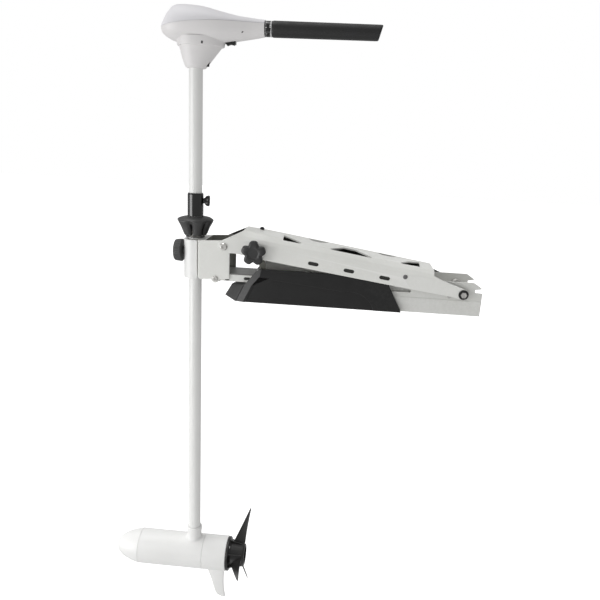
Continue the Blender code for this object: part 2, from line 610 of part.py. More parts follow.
def motor_housing():
    at = (SHAFT_X, 0.0, MOTOR_Z)
    shell = rod(HOUSING_RADIUS, HOUSING_FRONT, HOUSING_REAR, "X", at, FINE)
    item = place("motor_housing", shell, "white_paint", "depth", at)
    socket = turned([(0.020, 0.0), (0.020, 0.0172), (0.064, 0.0172), (0.0645, 0.0182), (0.0715, 0.0182),
                     (0.0725, 0.0174), (0.0725, 0.0)], "Z", at, FINE, closed=False)
    join(item, socket, "socket")
    cut(item, rod(HOUSING_INNER, -0.2, 0.1, "X", at, FINE), "motor_space")
    cut(item, rod(SHAFT_RADIUS + GAP, 0.030, 0.09, "Z", at, FINE), "shaft_bore")


def nose_cone():
    at = (SHAFT_X, 0.0, MOTOR_Z)
    length = HOUSING_FRONT - GAP - NOSE_TIP

    def dome(radius, reach, count):
        """Points from the tip to the open end along a blunt dome."""
        points = []
        for index in range(count):
            share = (index / (count - 1)) ** 2.0
            flare = (1.0 - (1.0 - share) ** NOSE_BLUNT) ** NOSE_FLARE
            points.append((HOUSING_FRONT - GAP - reach * (1.0 - share), radius * flare))
        return points

    outer = dome(HOUSING_RADIUS, length, 12)
    inner = dome(0.0345, length - 0.008, 9)[:-1]
    rim = [(HOUSING_FRONT - GAP, 0.0113), (HOUSING_FRONT - 0.006, 0.0113), (HOUSING_FRONT - 0.006, 0.0340)]
    profile = outer + rim + list(reversed(inner))
    place("nose_cone", turned(profile, "X", at, FINE, closed=False), "white_paint", "depth", at)


def end_cap():
    at = (SHAFT_X, 0.0, MOTOR_Z)
    start = HOUSING_REAR + GAP
    shell = rod(HOUSING_RADIUS, start, CAP_REAR, "X", at, FINE)
    item = place("end_cap", shell, "white_paint", "depth", at)
    skeg = [(0.0320, -0.0405), (0.0437, -0.080), (0.0545, -0.1165), (0.0605, -0.1255), (0.0690, -0.1300),
            (0.0815, -0.1295), (0.0780, -0.1100), (0.0762, -0.0850), (0.0778, -0.0405)]
    rings = []
    for y, shrink in ((-0.0035, 1), (-0.0012, 0), (0.0012, 0), (0.0035, 1)):
        middle = Vector((0.060, -0.075))
        scaled = [middle + (Vector(p) - middle) * (1.0 - 0.10 * shrink) for p in skeg]
        scaled = [(p.x, -0.0405 if index in (0, len(skeg) - 1) else p.y) for index, p in enumerate(scaled)]
        rings.append([Vector((SHAFT_X + x, y, MOTOR_Z + z)) for x, z in scaled])
    join(item, loft(rings), "skeg")
    cut(item, rod(HOUSING_INNER, 0.0, BULKHEAD[0], "X", at, FINE), "motor_space")
    cut(item, rod(HOUSING_INNER, BULKHEAD[1], 0.1, "X", at, FINE), "rear_recess")
    cut(item, rod(0.0110, 0.0, 0.1, "X", at, MEDIUM), "bearing_seat")
    for index, side in enumerate((-1, 1)):
        hole = rod(0.0023, 0.0, 0.1, "X", (SHAFT_X, side * 0.0345, MOTOR_Z), COARSE)
        cut(item, hole, f"bolt_hole_{index}")


def sector(inner, outer, middle, spread, low, high):
    """A bowed slab along X, such as a motor magnet."""
    outline = arc((0.0, 0.0), outer, middle - spread, middle + spread, 9)
    outline += arc((0.0, 0.0), inner, middle + spread, middle - spread, 9)
    outline = [(y, MOTOR_Z + z) for y, z in outline]
    return prism(outline, SHAFT_X + low, SHAFT_X + high, "X")


def motor_internals():
    at = (SHAFT_X, 0.0, MOTOR_Z)
    place("magnet_upper", sector(0.0330, 0.0372, 90, 58, -0.120, -0.022), "magnet", "depth", at)
    place("magnet_lower", sector(0.0330, 0.0372, 270, 58, -0.120, -0.022), "magnet", "depth", at)
    plate = place("brush_plate", tube(0.0150, 0.0372, 0.002, 0.007, "X", at, FINE), "nylon", "depth", at)
    for index, side in enumerate((-1, 1)):
        y = side * 0.0345
        cut(plate, rod(0.0023, -0.01, 0.02, "X", (SHAFT_X, y, MOTOR_Z), COARSE), f"bolt_hole_{index}")
        name = "through_bolt_port" if side < 0 else "through_bolt_starboard"
        profile = [(HOUSING_FRONT + 0.002, 0.0), (HOUSING_FRONT + 0.002, 0.002), (BULKHEAD[1] + GAP, 0.002),
                   (BULKHEAD[1] + GAP, 0.0032), (BULKHEAD[1] + 0.003, 0.0032), (BULKHEAD[1] + 0.003, 0.0)]
        bolt = turned(profile, "X", (SHAFT_X, y, MOTOR_Z), COARSE, closed=False)
        place(name, bolt, "steel", "depth", at)
    running = MOTOR_SHAFT + GAP
    front_bearing = tube(running, 0.0110, HOUSING_FRONT - 0.006, HOUSING_FRONT - 0.0005, "X", at)
    place("bearing_front", front_bearing, "steel", "depth", at)
    place("bearing_rear", tube(running, 0.0107, 0.0645, 0.0690, "X", at), "steel", "depth", at)
    place("shaft_seal", tube(running, 0.0107, 0.0694, 0.0727, "X", at), "black_rubber", "depth", at)


def armature():
    at = (SHAFT_X, 0.0, MOTOR_Z)
    profile = [(HOUSING_FRONT - 0.0045, 0.0), (HOUSING_FRONT - 0.0045, MOTOR_SHAFT), (-0.118, MOTOR_SHAFT),
               (-0.118, 0.022), (-0.108, 0.027),
               (-0.108, 0.032), (-0.034, 0.032), (-0.034, 0.027), (-0.024, 0.022), (-0.024, MOTOR_SHAFT),
               (MOTOR_SHAFT_END, MOTOR_SHAFT), (MOTOR_SHAFT_END, 0.0)]
    item = place("armature", turned(profile, "X", at, MEDIUM, closed=False), "copper", "prop_axis")
    cut(item, rod(0.0023, -0.02, 0.02, "Z", (PIN_X, 0.0, MOTOR_Z), COARSE), "pin_hole")
    place("drive_pin", rod(0.002, -0.012, 0.012, "Z", (PIN_X, 0.0, MOTOR_Z), COARSE), "steel", "prop_axis")
    place("commutator", tube(MOTOR_SHAFT + GAP, 0.0140, -0.010, 0.016, "X", at), "copper", "prop_axis")


BLADE_SECTION = ((-0.5, 0.0), (-0.25, 0.42), (0.05, 0.5), (0.5, 0.0), (0.05, -0.5), (-0.25, -0.42))


def blade(angle):
    """One swept blade: thin sections that narrow to the tip and untwist outwards."""
    rings = []
    for share in (0.0, 0.2, 0.4, 0.6, 0.75, 0.87, 0.95, 1.0):
        radius = 0.020 + (PROP_RADIUS - 0.020) * share
        chord = 0.035 - 0.006 * share - 0.023 * share ** 2
        pitch = math.atan2(PROP_PITCH, math.tau * radius)
        thick = 0.0052 * (1.0 - share) + 0.0012
        rake = 0.110 + 0.021 * share
        sweep = PROP_SWEEP * share ** 2
        section = []
        for along, across in BLADE_SECTION:
            tangent = along * chord * math.cos(pitch) - across * thick * math.sin(pitch) + sweep
            axial = along * chord * math.sin(pitch) + across * thick * math.cos(pitch)
            section.append(Vector((SHAFT_X + rake + axial, tangent, radius)))
        rings.append(section)
    shape = loft(rings)
    turn = Matrix.Rotation(angle - math.pi / 2, 4, "X")
    bmesh.ops.transform(shape, matrix=turn, verts=shape.verts)
    bmesh.ops.translate(shape, verts=shape.verts, vec=(0.0, 0.0, MOTOR_Z))
    return shape


def propeller():
    at = (SHAFT_X, 0.0, MOTOR_Z)
    profile = [(HUB_FRONT, 0.0), (HUB_FRONT, 0.0405), (HUB_FRONT + 0.004, 0.0412),
               (HUB_FRONT + 0.008, 0.0375), (HUB_FRONT + 0.010, 0.0320), (HUB_REAR - 0.004, 0.0275),
               (HUB_REAR, 0.0250), (HUB_REAR, 0.0205), (HUB_WEB, 0.0205), (HUB_WEB, 0.0)]
    hub = turned(profile, "X", at, FINE, closed=False)
    item = place("propeller", hub, "black_plastic", "prop_axis")
    for index in range(3):
        join(item, blade(PROP_PHASE + math.tau * index / 3), f"blade_{index}")
    cut(item, rod(0.0202, HUB_WEB, 0.15, "X", at, MEDIUM), "rear_recess")
    cut(item, rod(MOTOR_SHAFT + GAP, 0.05, 0.15, "X", at), "bore")
    slot = box((SHAFT_X + 0.08, -0.0024, MOTOR_Z - 0.0125), (PIN_X + 0.0024, 0.0024, MOTOR_Z + 0.0125))
    cut(item, slot, "pin_slot")
    nut = tube(0.0053, 0.0085, HUB_WEB + GAP, HUB_WEB + 0.007, "X", (0.0, 0.0, 0.0), COARSE)
    bmesh.ops.translate(nut, verts=nut.verts, vec=at)
    place("prop_nut", nut, "steel", "prop_axis")


# ---- head ----

HEAD_STATIONS = (
    # x from the shaft axis, underside, top, half-width
    (-0.0700, 0.5420, 0.5530, 0.012),
    (-0.0660, 0.5345, 0.5660, 0.023),
    (-0.0560, 0.5280, 0.5830, 0.034),
    (-0.0430, 0.5240, 0.5945, 0.041),
    (-0.0200, 0.5225, 0.5960, 0.046),
    (0.0150, 0.5220, 0.5935, 0.047),
    (0.0500, 0.5235, 0.5860, 0.042),
    (0.0850, 0.5285, 0.5785, 0.032),
    (0.1150, 0.5340, 0.5740, 0.022),
    (0.1410, 0.5390, 0.5715, 0.0165),
)
SEAM = ((-0.080, 0.5475), (-0.056, 0.5520), (-0.036, 0.5550), (0.000, 0.5592), (0.043, 0.5622),
        (0.098, 0.5635), (0.150, 0.5635))


def seam_height(x):
    """The height of the crease between the two shells at one place along the head."""
    for (start, low), (end, high) in zip(SEAM, SEAM[1:]):
        if x <= end:
            return low + (high - low) * (x - start) / (end - start)
    return SEAM[-1][1]


def head_loft(inset):
    rings = []
    for x, low, high, half in HEAD_STATIONS:
        crease = seam_height(x)
        wide = half - inset
        ring = []
        for index in range(24):
            angle = math.tau * index / 24
            side = math.copysign(1.0, math.cos(angle))
            share = abs(math.sin(angle))
            if abs(math.cos(angle)) < 0.001:
                side, share = 0.0, 1.0
            if math.sin(angle) >= 0.0:
                z = crease + (high - inset - crease) * share
                y = wide * (1.0 - share ** 2.4) ** 0.6 * (1.0 - 0.18 * share)
            else:
                z = crease - (crease - low - inset) * share
                y = wide * (1.0 - share ** 3) ** 0.5 * (1.0 - 0.10 * share)
            ring.append(Vector((SHAFT_X + x, side * y, z)))
        rings.append(ring)
    if inset:
        rings = rings[1:]
    return loft(rings)


def seam_block(low_side, gap):
    """Everything above or below the seam between the head's two shells."""
    line = [(SHAFT_X + x, z + gap) for x, z in SEAM]
    level = 0.40 if low_side else 0.70
    line += [(SHAFT_X + 0.150, level), (SHAFT_X - 0.080, level)]
    return prism(line, -0.08, 0.08)


def head_shells():
    at = (SHAFT_X, 0.0, GRIP_Z)
    upper = place("head_upper_shell", head_loft(0.0), "white_plastic", "depth", at)
    combine(upper, seam_block(False, GAP / 2), "INTERSECT", "above_seam")
    cut(upper, head_loft(0.003), "hollow")
    lower = place("head_lower_shell", head_loft(0.0), "white_plastic", "depth", at)
    rings = []
    for share in (0.0, 0.15, 0.5, 0.85, 1.0):
        z = 0.4750 + 0.058 * share
        front = 0.0187 + 0.0185 * share ** 0.62
        back = 0.0205 + 0.0470 * share
        width = 0.0195 + 0.0175 * share ** 0.8
        ring = []
        for index in range(FINE):
            angle = math.tau * index / FINE
            reach = back if math.cos(angle) > 0 else front
            ring.append(Vector((SHAFT_X + reach * math.cos(angle), width * math.sin(angle), z)))
        rings.append(ring)
    join(lower, loft(rings), "funnel")
    band = []
    for z, grow in ((0.5168, -0.0010), (0.5190, 0.0), (0.5340, 0.0010)):
        ring = []
        for index in range(FINE):
            angle = math.tau * index / FINE
            reach = (0.0590 if math.cos(angle) > 0 else 0.0378) + grow
            ring.append(Vector((SHAFT_X + reach * math.cos(angle), (0.0380 + grow) * math.sin(angle), z)))
        band.append(ring)
    join(lower, loft(band), "band")
    combine(lower, seam_block(True, -GAP / 2), "INTERSECT", "below_seam")
    cut(lower, head_loft(0.003), "hollow")
    cut(lower, rod(SHAFT_RADIUS + GAP, 0.45, 0.5005, "Z", (SHAFT_X, 0.0, 0.0), FINE), "shaft_bore")
    cut(lower, rod(0.0110, 0.45, 0.55, "Z", (SHAFT_X, 0.0, 0.0), FINE), "leads_bore")
    cut(lower, rod(0.0070, 0.10, 0.16, "X", at), "throttle_hole")
    cut(lower, box((ROCKER.x - 0.0105, -0.0075, 0.50), (ROCKER.x + 0.0105, 0.0075, 0.54)), "switch_hole")
    cut(lower, box((-0.3286, -0.0058, 0.4790), (-0.3100, 0.0058, 0.4880)), "cable_hole")


def head_parts():
    at = (SHAFT_X, 0.0, GRIP_Z)
    switch = rod(0.0125, 0.052, 0.078, "X", (SHAFT_X, 0.0, 0.5545), MEDIUM)
    place("speed_switch", switch, "black_plastic", "depth", at)
    board = box((-0.385, -0.024, 0.5600), (-0.310, 0.024, 0.5616))
    place("control_board", board, "circuit_board", "depth", at)
    grommet = box((-0.3283, -0.0055, 0.4793), (-0.3230, 0.0055, 0.4877))
    place("cable_grommet", grommet, "black_rubber", "depth", at)
    place("throttle_shaft", rod(0.006, 0.0790, 0.330, "X", at, MEDIUM), "steel", "grip_axis")
    ring = tube(0.0063, 0.0152, 0.1415, 0.1560, "X", at, FINE)
    place("dial_ring", ring, "black_plastic", "grip_axis")
    grip = turned([(0.1563, 0.0), (0.1563, 0.0155), (0.1580, 0.0160), (0.400, 0.0153), (0.400, 0.0)], "X", at,
                  FINE, closed=False)
    item = place("throttle_grip", grip, "black_rubber", "grip_axis")
    cut(item, rod(0.0063, 0.10, 0.335, "X", at, MEDIUM), "bore")
    slant = [(0.3765, 0.016), (0.3672, -0.018), (0.42, -0.018), (0.42, 0.02), (0.3780, 0.02)]
    slant = [(SHAFT_X + x, GRIP_Z + z) for x, z in slant]
    cut(item, prism(slant, -0.03, 0.03), "slanted_end")


def switch_parts():
    x, z = ROCKER.x, ROCKER.z
    bezel = place("switch_bezel", box((x - 0.0102, -0.0072, z - 0.0028), (x + 0.0102, 0.0072, z + 0.0060)),
                  "black_plastic", "depth", ROCKER)
    cut(bezel, box((x - 0.0086, -0.0056, z - 0.0060), (x + 0.0086, 0.0056, z + 0.0050)), "well")
    outline = [(x - 0.0076, z + 0.0010), (x - 0.0076, z - 0.0060), (x, z - 0.0028), (x + 0.0076, z - 0.0045),
               (x + 0.0076, z + 0.0010)]
    place("rocker_switch", prism(outline, -0.0052, 0.0052), "black_plastic", "rocker_axis")


def main():
    clear_scene()
    make_materials()
    make_pivots()
    base_channel()
    nose_cover()
    side_cover("side_cover_port", -1)
    side_cover("side_cover_starboard", 1)
    latch()
    base_fasteners()
    arm_channel()
    arm_fittings()
    lower_link()
    column_block()
    column_fittings()
    tension_knob()
    clamp_knob()
    depth_collar()
    shaft_parts()
    motor_housing()
    nose_cone()
    end_cap()
    motor_internals()
    armature()
    propeller()
    head_shells()
    head_parts()
    switch_parts()


main()
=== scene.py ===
"""Looks for the bow-mount trolling motor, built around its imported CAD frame. Units are metres, +Z is up."""
import json
from math import atan2, copysign, cos, pi, radians, sin, sqrt, tan, tau

import bmesh
import bpy
from mathutils import Matrix, Vector


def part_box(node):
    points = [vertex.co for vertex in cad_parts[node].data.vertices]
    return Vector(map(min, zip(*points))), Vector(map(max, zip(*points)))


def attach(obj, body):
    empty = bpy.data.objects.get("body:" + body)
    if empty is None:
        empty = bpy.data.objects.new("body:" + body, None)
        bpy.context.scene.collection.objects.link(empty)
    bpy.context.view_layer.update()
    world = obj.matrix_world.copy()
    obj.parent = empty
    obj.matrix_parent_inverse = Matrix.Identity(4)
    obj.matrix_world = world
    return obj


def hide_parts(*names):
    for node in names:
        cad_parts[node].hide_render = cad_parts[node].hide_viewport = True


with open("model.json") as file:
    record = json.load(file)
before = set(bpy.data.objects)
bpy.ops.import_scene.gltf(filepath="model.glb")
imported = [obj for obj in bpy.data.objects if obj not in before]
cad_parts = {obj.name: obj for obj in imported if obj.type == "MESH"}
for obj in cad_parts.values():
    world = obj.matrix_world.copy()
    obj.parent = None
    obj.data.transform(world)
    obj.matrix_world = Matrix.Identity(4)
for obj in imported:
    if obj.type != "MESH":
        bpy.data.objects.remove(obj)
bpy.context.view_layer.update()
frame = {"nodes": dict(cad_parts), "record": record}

# places read from the frame
JOINTS = frame["record"]["behaviour"]["joints"]
PIVOTS = {joint["name"]: Vector(joint["pos_m"]) for joint in JOINTS if "pos_m" in joint}
SHAFT_X = sum(corner[0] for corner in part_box("shaft_tube")) / 2
SHAFT = Vector((SHAFT_X, 0.0, 0.0))
MOTOR_Z = PIVOTS["prop_spin"].z
MOTOR = Vector((SHAFT_X, 0.0, MOTOR_Z))
GRIP = Vector((SHAFT_X, 0.0, PIVOTS["throttle"].z))
ARM_PIVOT = PIVOTS["fold"]
EYE = PIVOTS["column_tilt"]
LINK_PIVOT = PIVOTS["link_swing"]
LINK_EYE = Vector((SHAFT_X + 0.0538, 0.0, 0.0444))
LATCH = PIVOTS["latch"]
ROCKER = PIVOTS["power_switch"]
CLAMP_Z = PIVOTS["clamp"].z
SCREW_Z = PIVOTS["collar_lock"].z
ARM_LENGTH = (EYE - ARM_PIVOT).length
ARM_TILT = atan2(EYE.z - ARM_PIVOT.z, ARM_PIVOT.x - EYE.x)

# sizes that several pieces share
GAP = 0.0003
BOLT_HOLE = 0.0043
PIVOT_HOLE = 0.0053
SHAFT_HOLE = 0.0146
BEARING_SEAT = 0.0165
SIDES = (("port", -1), ("starboard", 1))

# sides of a round piece, by its size
FINE = 128
SMOOTH = 96
ROUND = 48
SMALL = 32


# ---- materials ----

MATERIALS = {}
SLOTS = {}


def node(tree, kind, inputs=None, **settings):
    """Add a shader node, set its properties, and set or link its inputs."""
    made = tree.nodes.new(kind)
    for key, value in settings.items():
        setattr(made, key, value)
    for key, value in (inputs or {}).items():
        socket = made.inputs[key]
        if isinstance(value, bpy.types.NodeSocket):
            tree.links.new(value, socket)
        else:
            socket.default_value = value
    return made


def ramp(tree, value, stops):
    """A colour ramp of (place, colour) stops."""
    made = node(tree, "ShaderNodeValToRGB", {"Fac": value})
    elements = made.color_ramp.elements
    while len(elements) < len(stops):
        elements.new(0.5)
    for element, (place, colour) in zip(elements, stops):
        element.position = place
        element.color = (*colour, 1.0)
    return made.outputs["Color"]


def noise(tree, where, scale, detail=3.0, rough=0.5):
    inputs = {"Vector": where, "Scale": scale, "Detail": detail, "Roughness": rough}
    return node(tree, "ShaderNodeTexNoise", inputs).outputs["Fac"]


def spread(tree, value, low, high, start=0.3, end=0.7):
    """Stretch the part of a value between start and end to run from low to high."""
    inputs = {"Value": value, "From Min": start, "From Max": end, "To Min": low, "To Max": high}
    return node(tree, "ShaderNodeMapRange", inputs).outputs["Result"]


def tinted(tree, colour, factor, tint):
    """Mix a colour towards a tint."""
    mixed = node(tree, "ShaderNodeMix", data_type="RGBA")
    tree.links.new(factor, mixed.inputs["Factor"])
    tree.links.new(colour, mixed.inputs[6])
    mixed.inputs[7].default_value = (*tint, 1.0)
    return mixed.outputs[2]


def finish(name, slot, colours, rough, bumps, specks, metallic=0.0, stretch=None, worn=None, sheen=0.0,
           specular=0.5, inside=None):
    """A surface with broad colour drift, small specks, uneven gloss and one or more layers of relief.

    slot is the CAD material slot that it stands for. colours is (dark, mid, light), rough is (low, high) and
    bumps is a list of (scale, distance, strength, detail). specks is (scale, amount, tint) and worn, for the
    edges, is (tint, low, high). inside is the tint of faces that carry the "shade" attribute: painted shade
    where it is darker than the colours and painted light where it is paler.
    """
    made = bpy.data.materials.new(name)
    made.use_nodes = True
    tree = made.node_tree
    shader = tree.nodes["Principled BSDF"]
    where = node(tree, "ShaderNodeTexCoord").outputs["Object"]
    grain = where
    if stretch:
        grain = node(tree, "ShaderNodeMapping", {"Vector": where, "Scale": stretch}).outputs["Vector"]
    drift = noise(tree, where, 9.0, 4.0, 0.55)
    colour = ramp(tree, drift, [(0.3, colours[0]), (0.5, colours[1]), (0.7, colours[2])])
    scale, amount, tint = specks
    fleck = noise(tree, grain, scale, 2.0, 0.6)
    colour = tinted(tree, colour, spread(tree, fleck, 0.0, amount, 0.6, 0.72), tint)
    if worn:
        tint, low, high = worn
        edge = node(tree, "ShaderNodeNewGeometry").outputs["Pointiness"]
        broken = spread(tree, noise(tree, where, 160.0, 5.0, 0.7), 0.94, 1.05)
        product = node(tree, "ShaderNodeMath", {0: edge, 1: broken}, operation="MULTIPLY")
        colour = tinted(tree, colour, spread(tree, product.outputs[0], 0.0, 0.55, low, high), tint)
    # Painted shade and painted light: each face mixes towards the inside tint by its "shade" attribute.
    if inside:
        shade = node(tree, "ShaderNodeAttribute", attribute_name="shade").outputs["Fac"]
        colour = tinted(tree, colour, shade, inside)
    tree.links.new(colour, shader.inputs["Base Color"])
    gloss = noise(tree, grain, 55.0, 4.0, 0.6)
    tree.links.new(spread(tree, gloss, *rough), shader.inputs["Roughness"])
    shader.inputs["Metallic"].default_value = metallic
    shader.inputs["Specular IOR Level"].default_value = specular
    if sheen:
        shader.inputs["Sheen Weight"].default_value = sheen
        shader.inputs["Sheen Roughness"].default_value = 0.5
    normal = None
    for scale, distance, strength, detail in bumps:
        height = noise(tree, grain, scale, detail, 0.55)
        inputs = {"Height": height, "Distance": distance, "Strength": strength}
        if normal:
            inputs["Normal"] = normal
        normal = node(tree, "ShaderNodeBump", inputs).outputs["Normal"]
    tree.links.new(normal, shader.inputs["Normal"])
    MATERIALS[name] = made
    SLOTS[name] = slot


def grey(value, warm=0.0):
    return (value * (1.0 + warm), value, value * (1.0 - warm))


def greys(*values, warm=0.0):
    return [grey(value, warm) for value in values]


def white_finishes():
    powder = ((0.735, 0.738, 0.705), (0.765, 0.768, 0.735), (0.785, 0.788, 0.758))
    powder_relief = [(820.0, 0.00022, 0.3, 2.0), (95.0, 0.0003, 0.1, 2.0)]
    # The inside tints are painted shade on inner faces: mid grey in the column's pocket, near black in the arm
    # and link.
    for name, shade in (("powder_white", (0.215, 0.215, 0.19)), ("arm_white", (0.02, 0.02, 0.017))):
        finish(name, "white_paint", powder, (0.34, 0.46), powder_relief, (520.0, 0.1, (0.6, 0.6, 0.57)),
               worn=((0.86, 0.86, 0.84), 0.53, 0.6), inside=shade, specular=0.4)
    # A darker copy of the powder white: painted shade over the whole base. Its paler inside tint is painted
    # light on the far side's inner face.
    finish("base_white_painted_shade", "white_paint", ((0.625, 0.628, 0.598), (0.65, 0.653, 0.622), (0.67, 0.673, 0.645)),
           (0.36, 0.48), powder_relief, (520.0, 0.1, (0.5, 0.5, 0.47)),
           worn=((0.8, 0.8, 0.78), 0.53, 0.6), inside=(0.78, 0.78, 0.745), specular=0.4)
    finish("cast_white", "cast_paint", ((0.785, 0.785, 0.772), (0.81, 0.81, 0.798), (0.828, 0.828, 0.818)),
           (0.4, 0.5), [(640.0, 0.00018, 0.22, 2.0), (60.0, 0.0005, 0.12, 3.0)],
           (430.0, 0.07, (0.66, 0.66, 0.64)), specular=0.36)
    finish("tube_white", "shaft_tube", ((0.775, 0.778, 0.76), (0.8, 0.802, 0.786), (0.815, 0.817, 0.803)),
           (0.3, 0.4), [(700.0, 0.0001, 0.16, 2.0), (40.0, 0.0002, 0.1, 2.0)],
           (300.0, 0.05, (0.66, 0.66, 0.64)), specular=0.32, stretch=(1.0, 1.0, 0.18))
    shell_relief = [(1500.0, 0.0001, 0.22, 2.0), (45.0, 0.0002, 0.08, 2.0)]
    upper = ((0.7, 0.692, 0.712), (0.722, 0.714, 0.735), (0.738, 0.73, 0.75))
    lower = ((0.708, 0.694, 0.692), (0.73, 0.716, 0.714), (0.746, 0.732, 0.73))
    finish("shell_upper", "white_plastic", upper, (0.44, 0.54), shell_relief,
           (700.0, 0.05, (0.62, 0.61, 0.62)), specular=0.34)
    # Its inside tint is painted shade in the head's oval recess and screw hole.
    finish("shell_lower", "white_plastic", lower, (0.44, 0.54), shell_relief,
           (700.0, 0.05, (0.62, 0.6, 0.6)), specular=0.34, inside=grey(0.05))
    finish("mark_white", "white_plastic", greys(0.66, 0.74, 0.8), (0.4, 0.52), [(900.0, 0.0001, 0.3, 3.0)],
           (600.0, 0.3, grey(0.45)))


def black_finishes():
    # Its paler inside tint is painted sheen on the nose cover and on the side covers' front bevel.
    finish("black_moulded", "black_plastic", greys(0.004, 0.0052, 0.0068), (0.42, 0.56),
           [(1300.0, 0.00016, 0.38, 3.0), (70.0, 0.0003, 0.12, 2.0)], (900.0, 0.2, grey(0.016)),
           worn=(grey(0.045), 0.54, 0.66), inside=grey(0.048), specular=0.35)
    for name, rough, depth, strength, specular in (("black_satin", (0.22, 0.34), 0.0001, 0.22, 0.4),
                                                   ("black_gloss", (0.12, 0.2), 0.00006, 0.16, 0.5)):
        finish(name, "black_plastic", greys(0.0065, 0.0085, 0.011), rough,
               [(900.0, depth, strength, 3.0), (60.0, 0.0003, 0.1, 2.0)], (800.0, 0.15, grey(0.024)),
               worn=(grey(0.05), 0.54, 0.66), specular=specular)
    for name, tones, fleck, edge in (("knob_grey", (0.021, 0.026, 0.031), 0.045, 0.085),
                                     ("pale_knob", (0.041, 0.047, 0.053), 0.07, 0.11)):
        finish(name, "black_plastic", greys(*tones), (0.42, 0.56),
               [(1100.0, 0.00018, 0.4, 3.0), (80.0, 0.0003, 0.12, 2.0)], (800.0, 0.2, grey(fleck)),
               worn=(grey(edge), 0.54, 0.66), specular=0.35)
    finish("blade_black", "black_plastic", greys(0.009, 0.013, 0.018, warm=0.03), (0.28, 0.42),
           [(520.0, 0.00014, 0.25, 3.0), (30.0, 0.0006, 0.14, 2.0)], (620.0, 0.25, grey(0.05)),
           worn=(grey(0.1), 0.53, 0.64), specular=0.42)
    finish("grip_rubber", "black_rubber", (grey(0.011), grey(0.013), (0.015, 0.015, 0.018)), (0.5, 0.64),
           [(1100.0, 0.00025, 0.5, 3.0), (150.0, 0.0003, 0.18, 3.0)], (850.0, 0.22, grey(0.038)), sheen=0.06,
           specular=0.32)
    finish("soft_rubber", "black_rubber", greys(0.008, 0.01, 0.013), (0.55, 0.7),
           [(900.0, 0.0002, 0.4, 3.0)], (700.0, 0.2, grey(0.03)), specular=0.3)


def metal_finishes():
    finish("strap_grey", "steel", ((0.07, 0.07, 0.058), (0.085, 0.085, 0.07), (0.1, 0.1, 0.082)),
           (0.35, 0.5), [(500.0, 0.00016, 0.3, 3.0)], (420.0, 0.25, grey(0.16)), specular=0.4)
    finish("dark_steel", "steel", greys(0.12, 0.16, 0.2), (0.28, 0.42), [(420.0, 0.00015, 0.25, 4.0)],
           (260.0, 0.35, grey(0.3)), metallic=0.9)
    finish("zinc_steel", "steel", (grey(0.46), (0.55, 0.545, 0.53), (0.64, 0.63, 0.6)), (0.22, 0.38),
           [(420.0, 0.00015, 0.25, 4.0)], (260.0, 0.35, (0.36, 0.35, 0.33)), metallic=1.0)
    finish("turned_steel", "steel", greys(0.5, 0.58, 0.66), (0.16, 0.3), [(900.0, 0.00008, 0.3, 3.0)],
           (300.0, 0.2, grey(0.42)), metallic=1.0, stretch=(4.0, 1.0, 1.0))
    finish("dull_anode", "steel", greys(0.42, 0.5, 0.58), (0.45, 0.65), [(500.0, 0.0004, 0.5, 4.0)],
           (350.0, 0.5, grey(0.7)), metallic=0.8)
    finish("copper_wire", "winding", ((0.5, 0.2, 0.09), (0.62, 0.27, 0.13), (0.72, 0.35, 0.19)),
           (0.25, 0.4), [(600.0, 0.0004, 0.6, 2.0)], (300.0, 0.3, (0.4, 0.15, 0.07)), metallic=1.0,
           stretch=(1.0, 8.0, 8.0))


def inner_finishes():
    finish("ferrite", "magnet", greys(0.055, 0.07, 0.085), (0.55, 0.75), [(700.0, 0.0003, 0.4, 4.0)],
           (400.0, 0.3, grey(0.12)))
    finish("nylon", "nylon", ((0.62, 0.6, 0.54), (0.66, 0.64, 0.58), (0.7, 0.68, 0.62)), (0.45, 0.58),
           [(600.0, 0.00015, 0.25, 3.0)], (500.0, 0.1, (0.55, 0.53, 0.47)))
    finish("board_green", "circuit_board", ((0.02, 0.12, 0.05), (0.03, 0.16, 0.07), (0.04, 0.2, 0.09)),
           (0.25, 0.35), [(300.0, 0.0001, 0.3, 2.0)], (200.0, 0.5, (0.1, 0.34, 0.16)),
           stretch=(1.0, 6.0, 1.0))


white_finishes()
black_finishes()
metal_finishes()
inner_finishes()


# ---- modelling kit ----

def around(steps):
    """The angles of a full turn in even steps."""
    return [tau * index / steps for index in range(steps)]


def to_axis(along, first, second, axis):
    if axis == "X":
        return Vector((along, first, second))
    if axis == "Y":
        return Vector((first, along, second))
    return Vector((first, second, along))


def loft(rings, closed=False):
    """A solid through rings of equal point counts, capped at both ends or closed round to its first ring."""
    shape = bmesh.new()
    loops = [[shape.verts.new(point) for point in ring] for ring in rings]
    for near, far in zip(loops, loops[1:] + (loops[:1] if closed else [])):
        for index in range(len(near)):
            following = (index + 1) % len(near)
            shape.faces.new((near[index], near[following], far[following], far[index]))
    if not closed:
        shape.faces.new(loops[0])
        shape.faces.new(list(reversed(loops[-1])))
    bmesh.ops.recalc_face_normals(shape, faces=shape.faces)
    return shape


def prism(outline, low, high, axis="Y"):
    return loft([[to_axis(along, *point, axis) for point in outline] for along in (low, high)])


def rectangle(left, low, right, high, upward=False):
    """Corners from the lower left, by way of the lower right or, upward, of the upper left."""
    corners = [(left, low), (right, low), (right, high), (left, high)]
    return corners[:1] + corners[:0:-1] if upward else corners


def box(low, high):
    return prism(rectangle(low[0], low[2], high[0], high[2]), low[1], high[1])


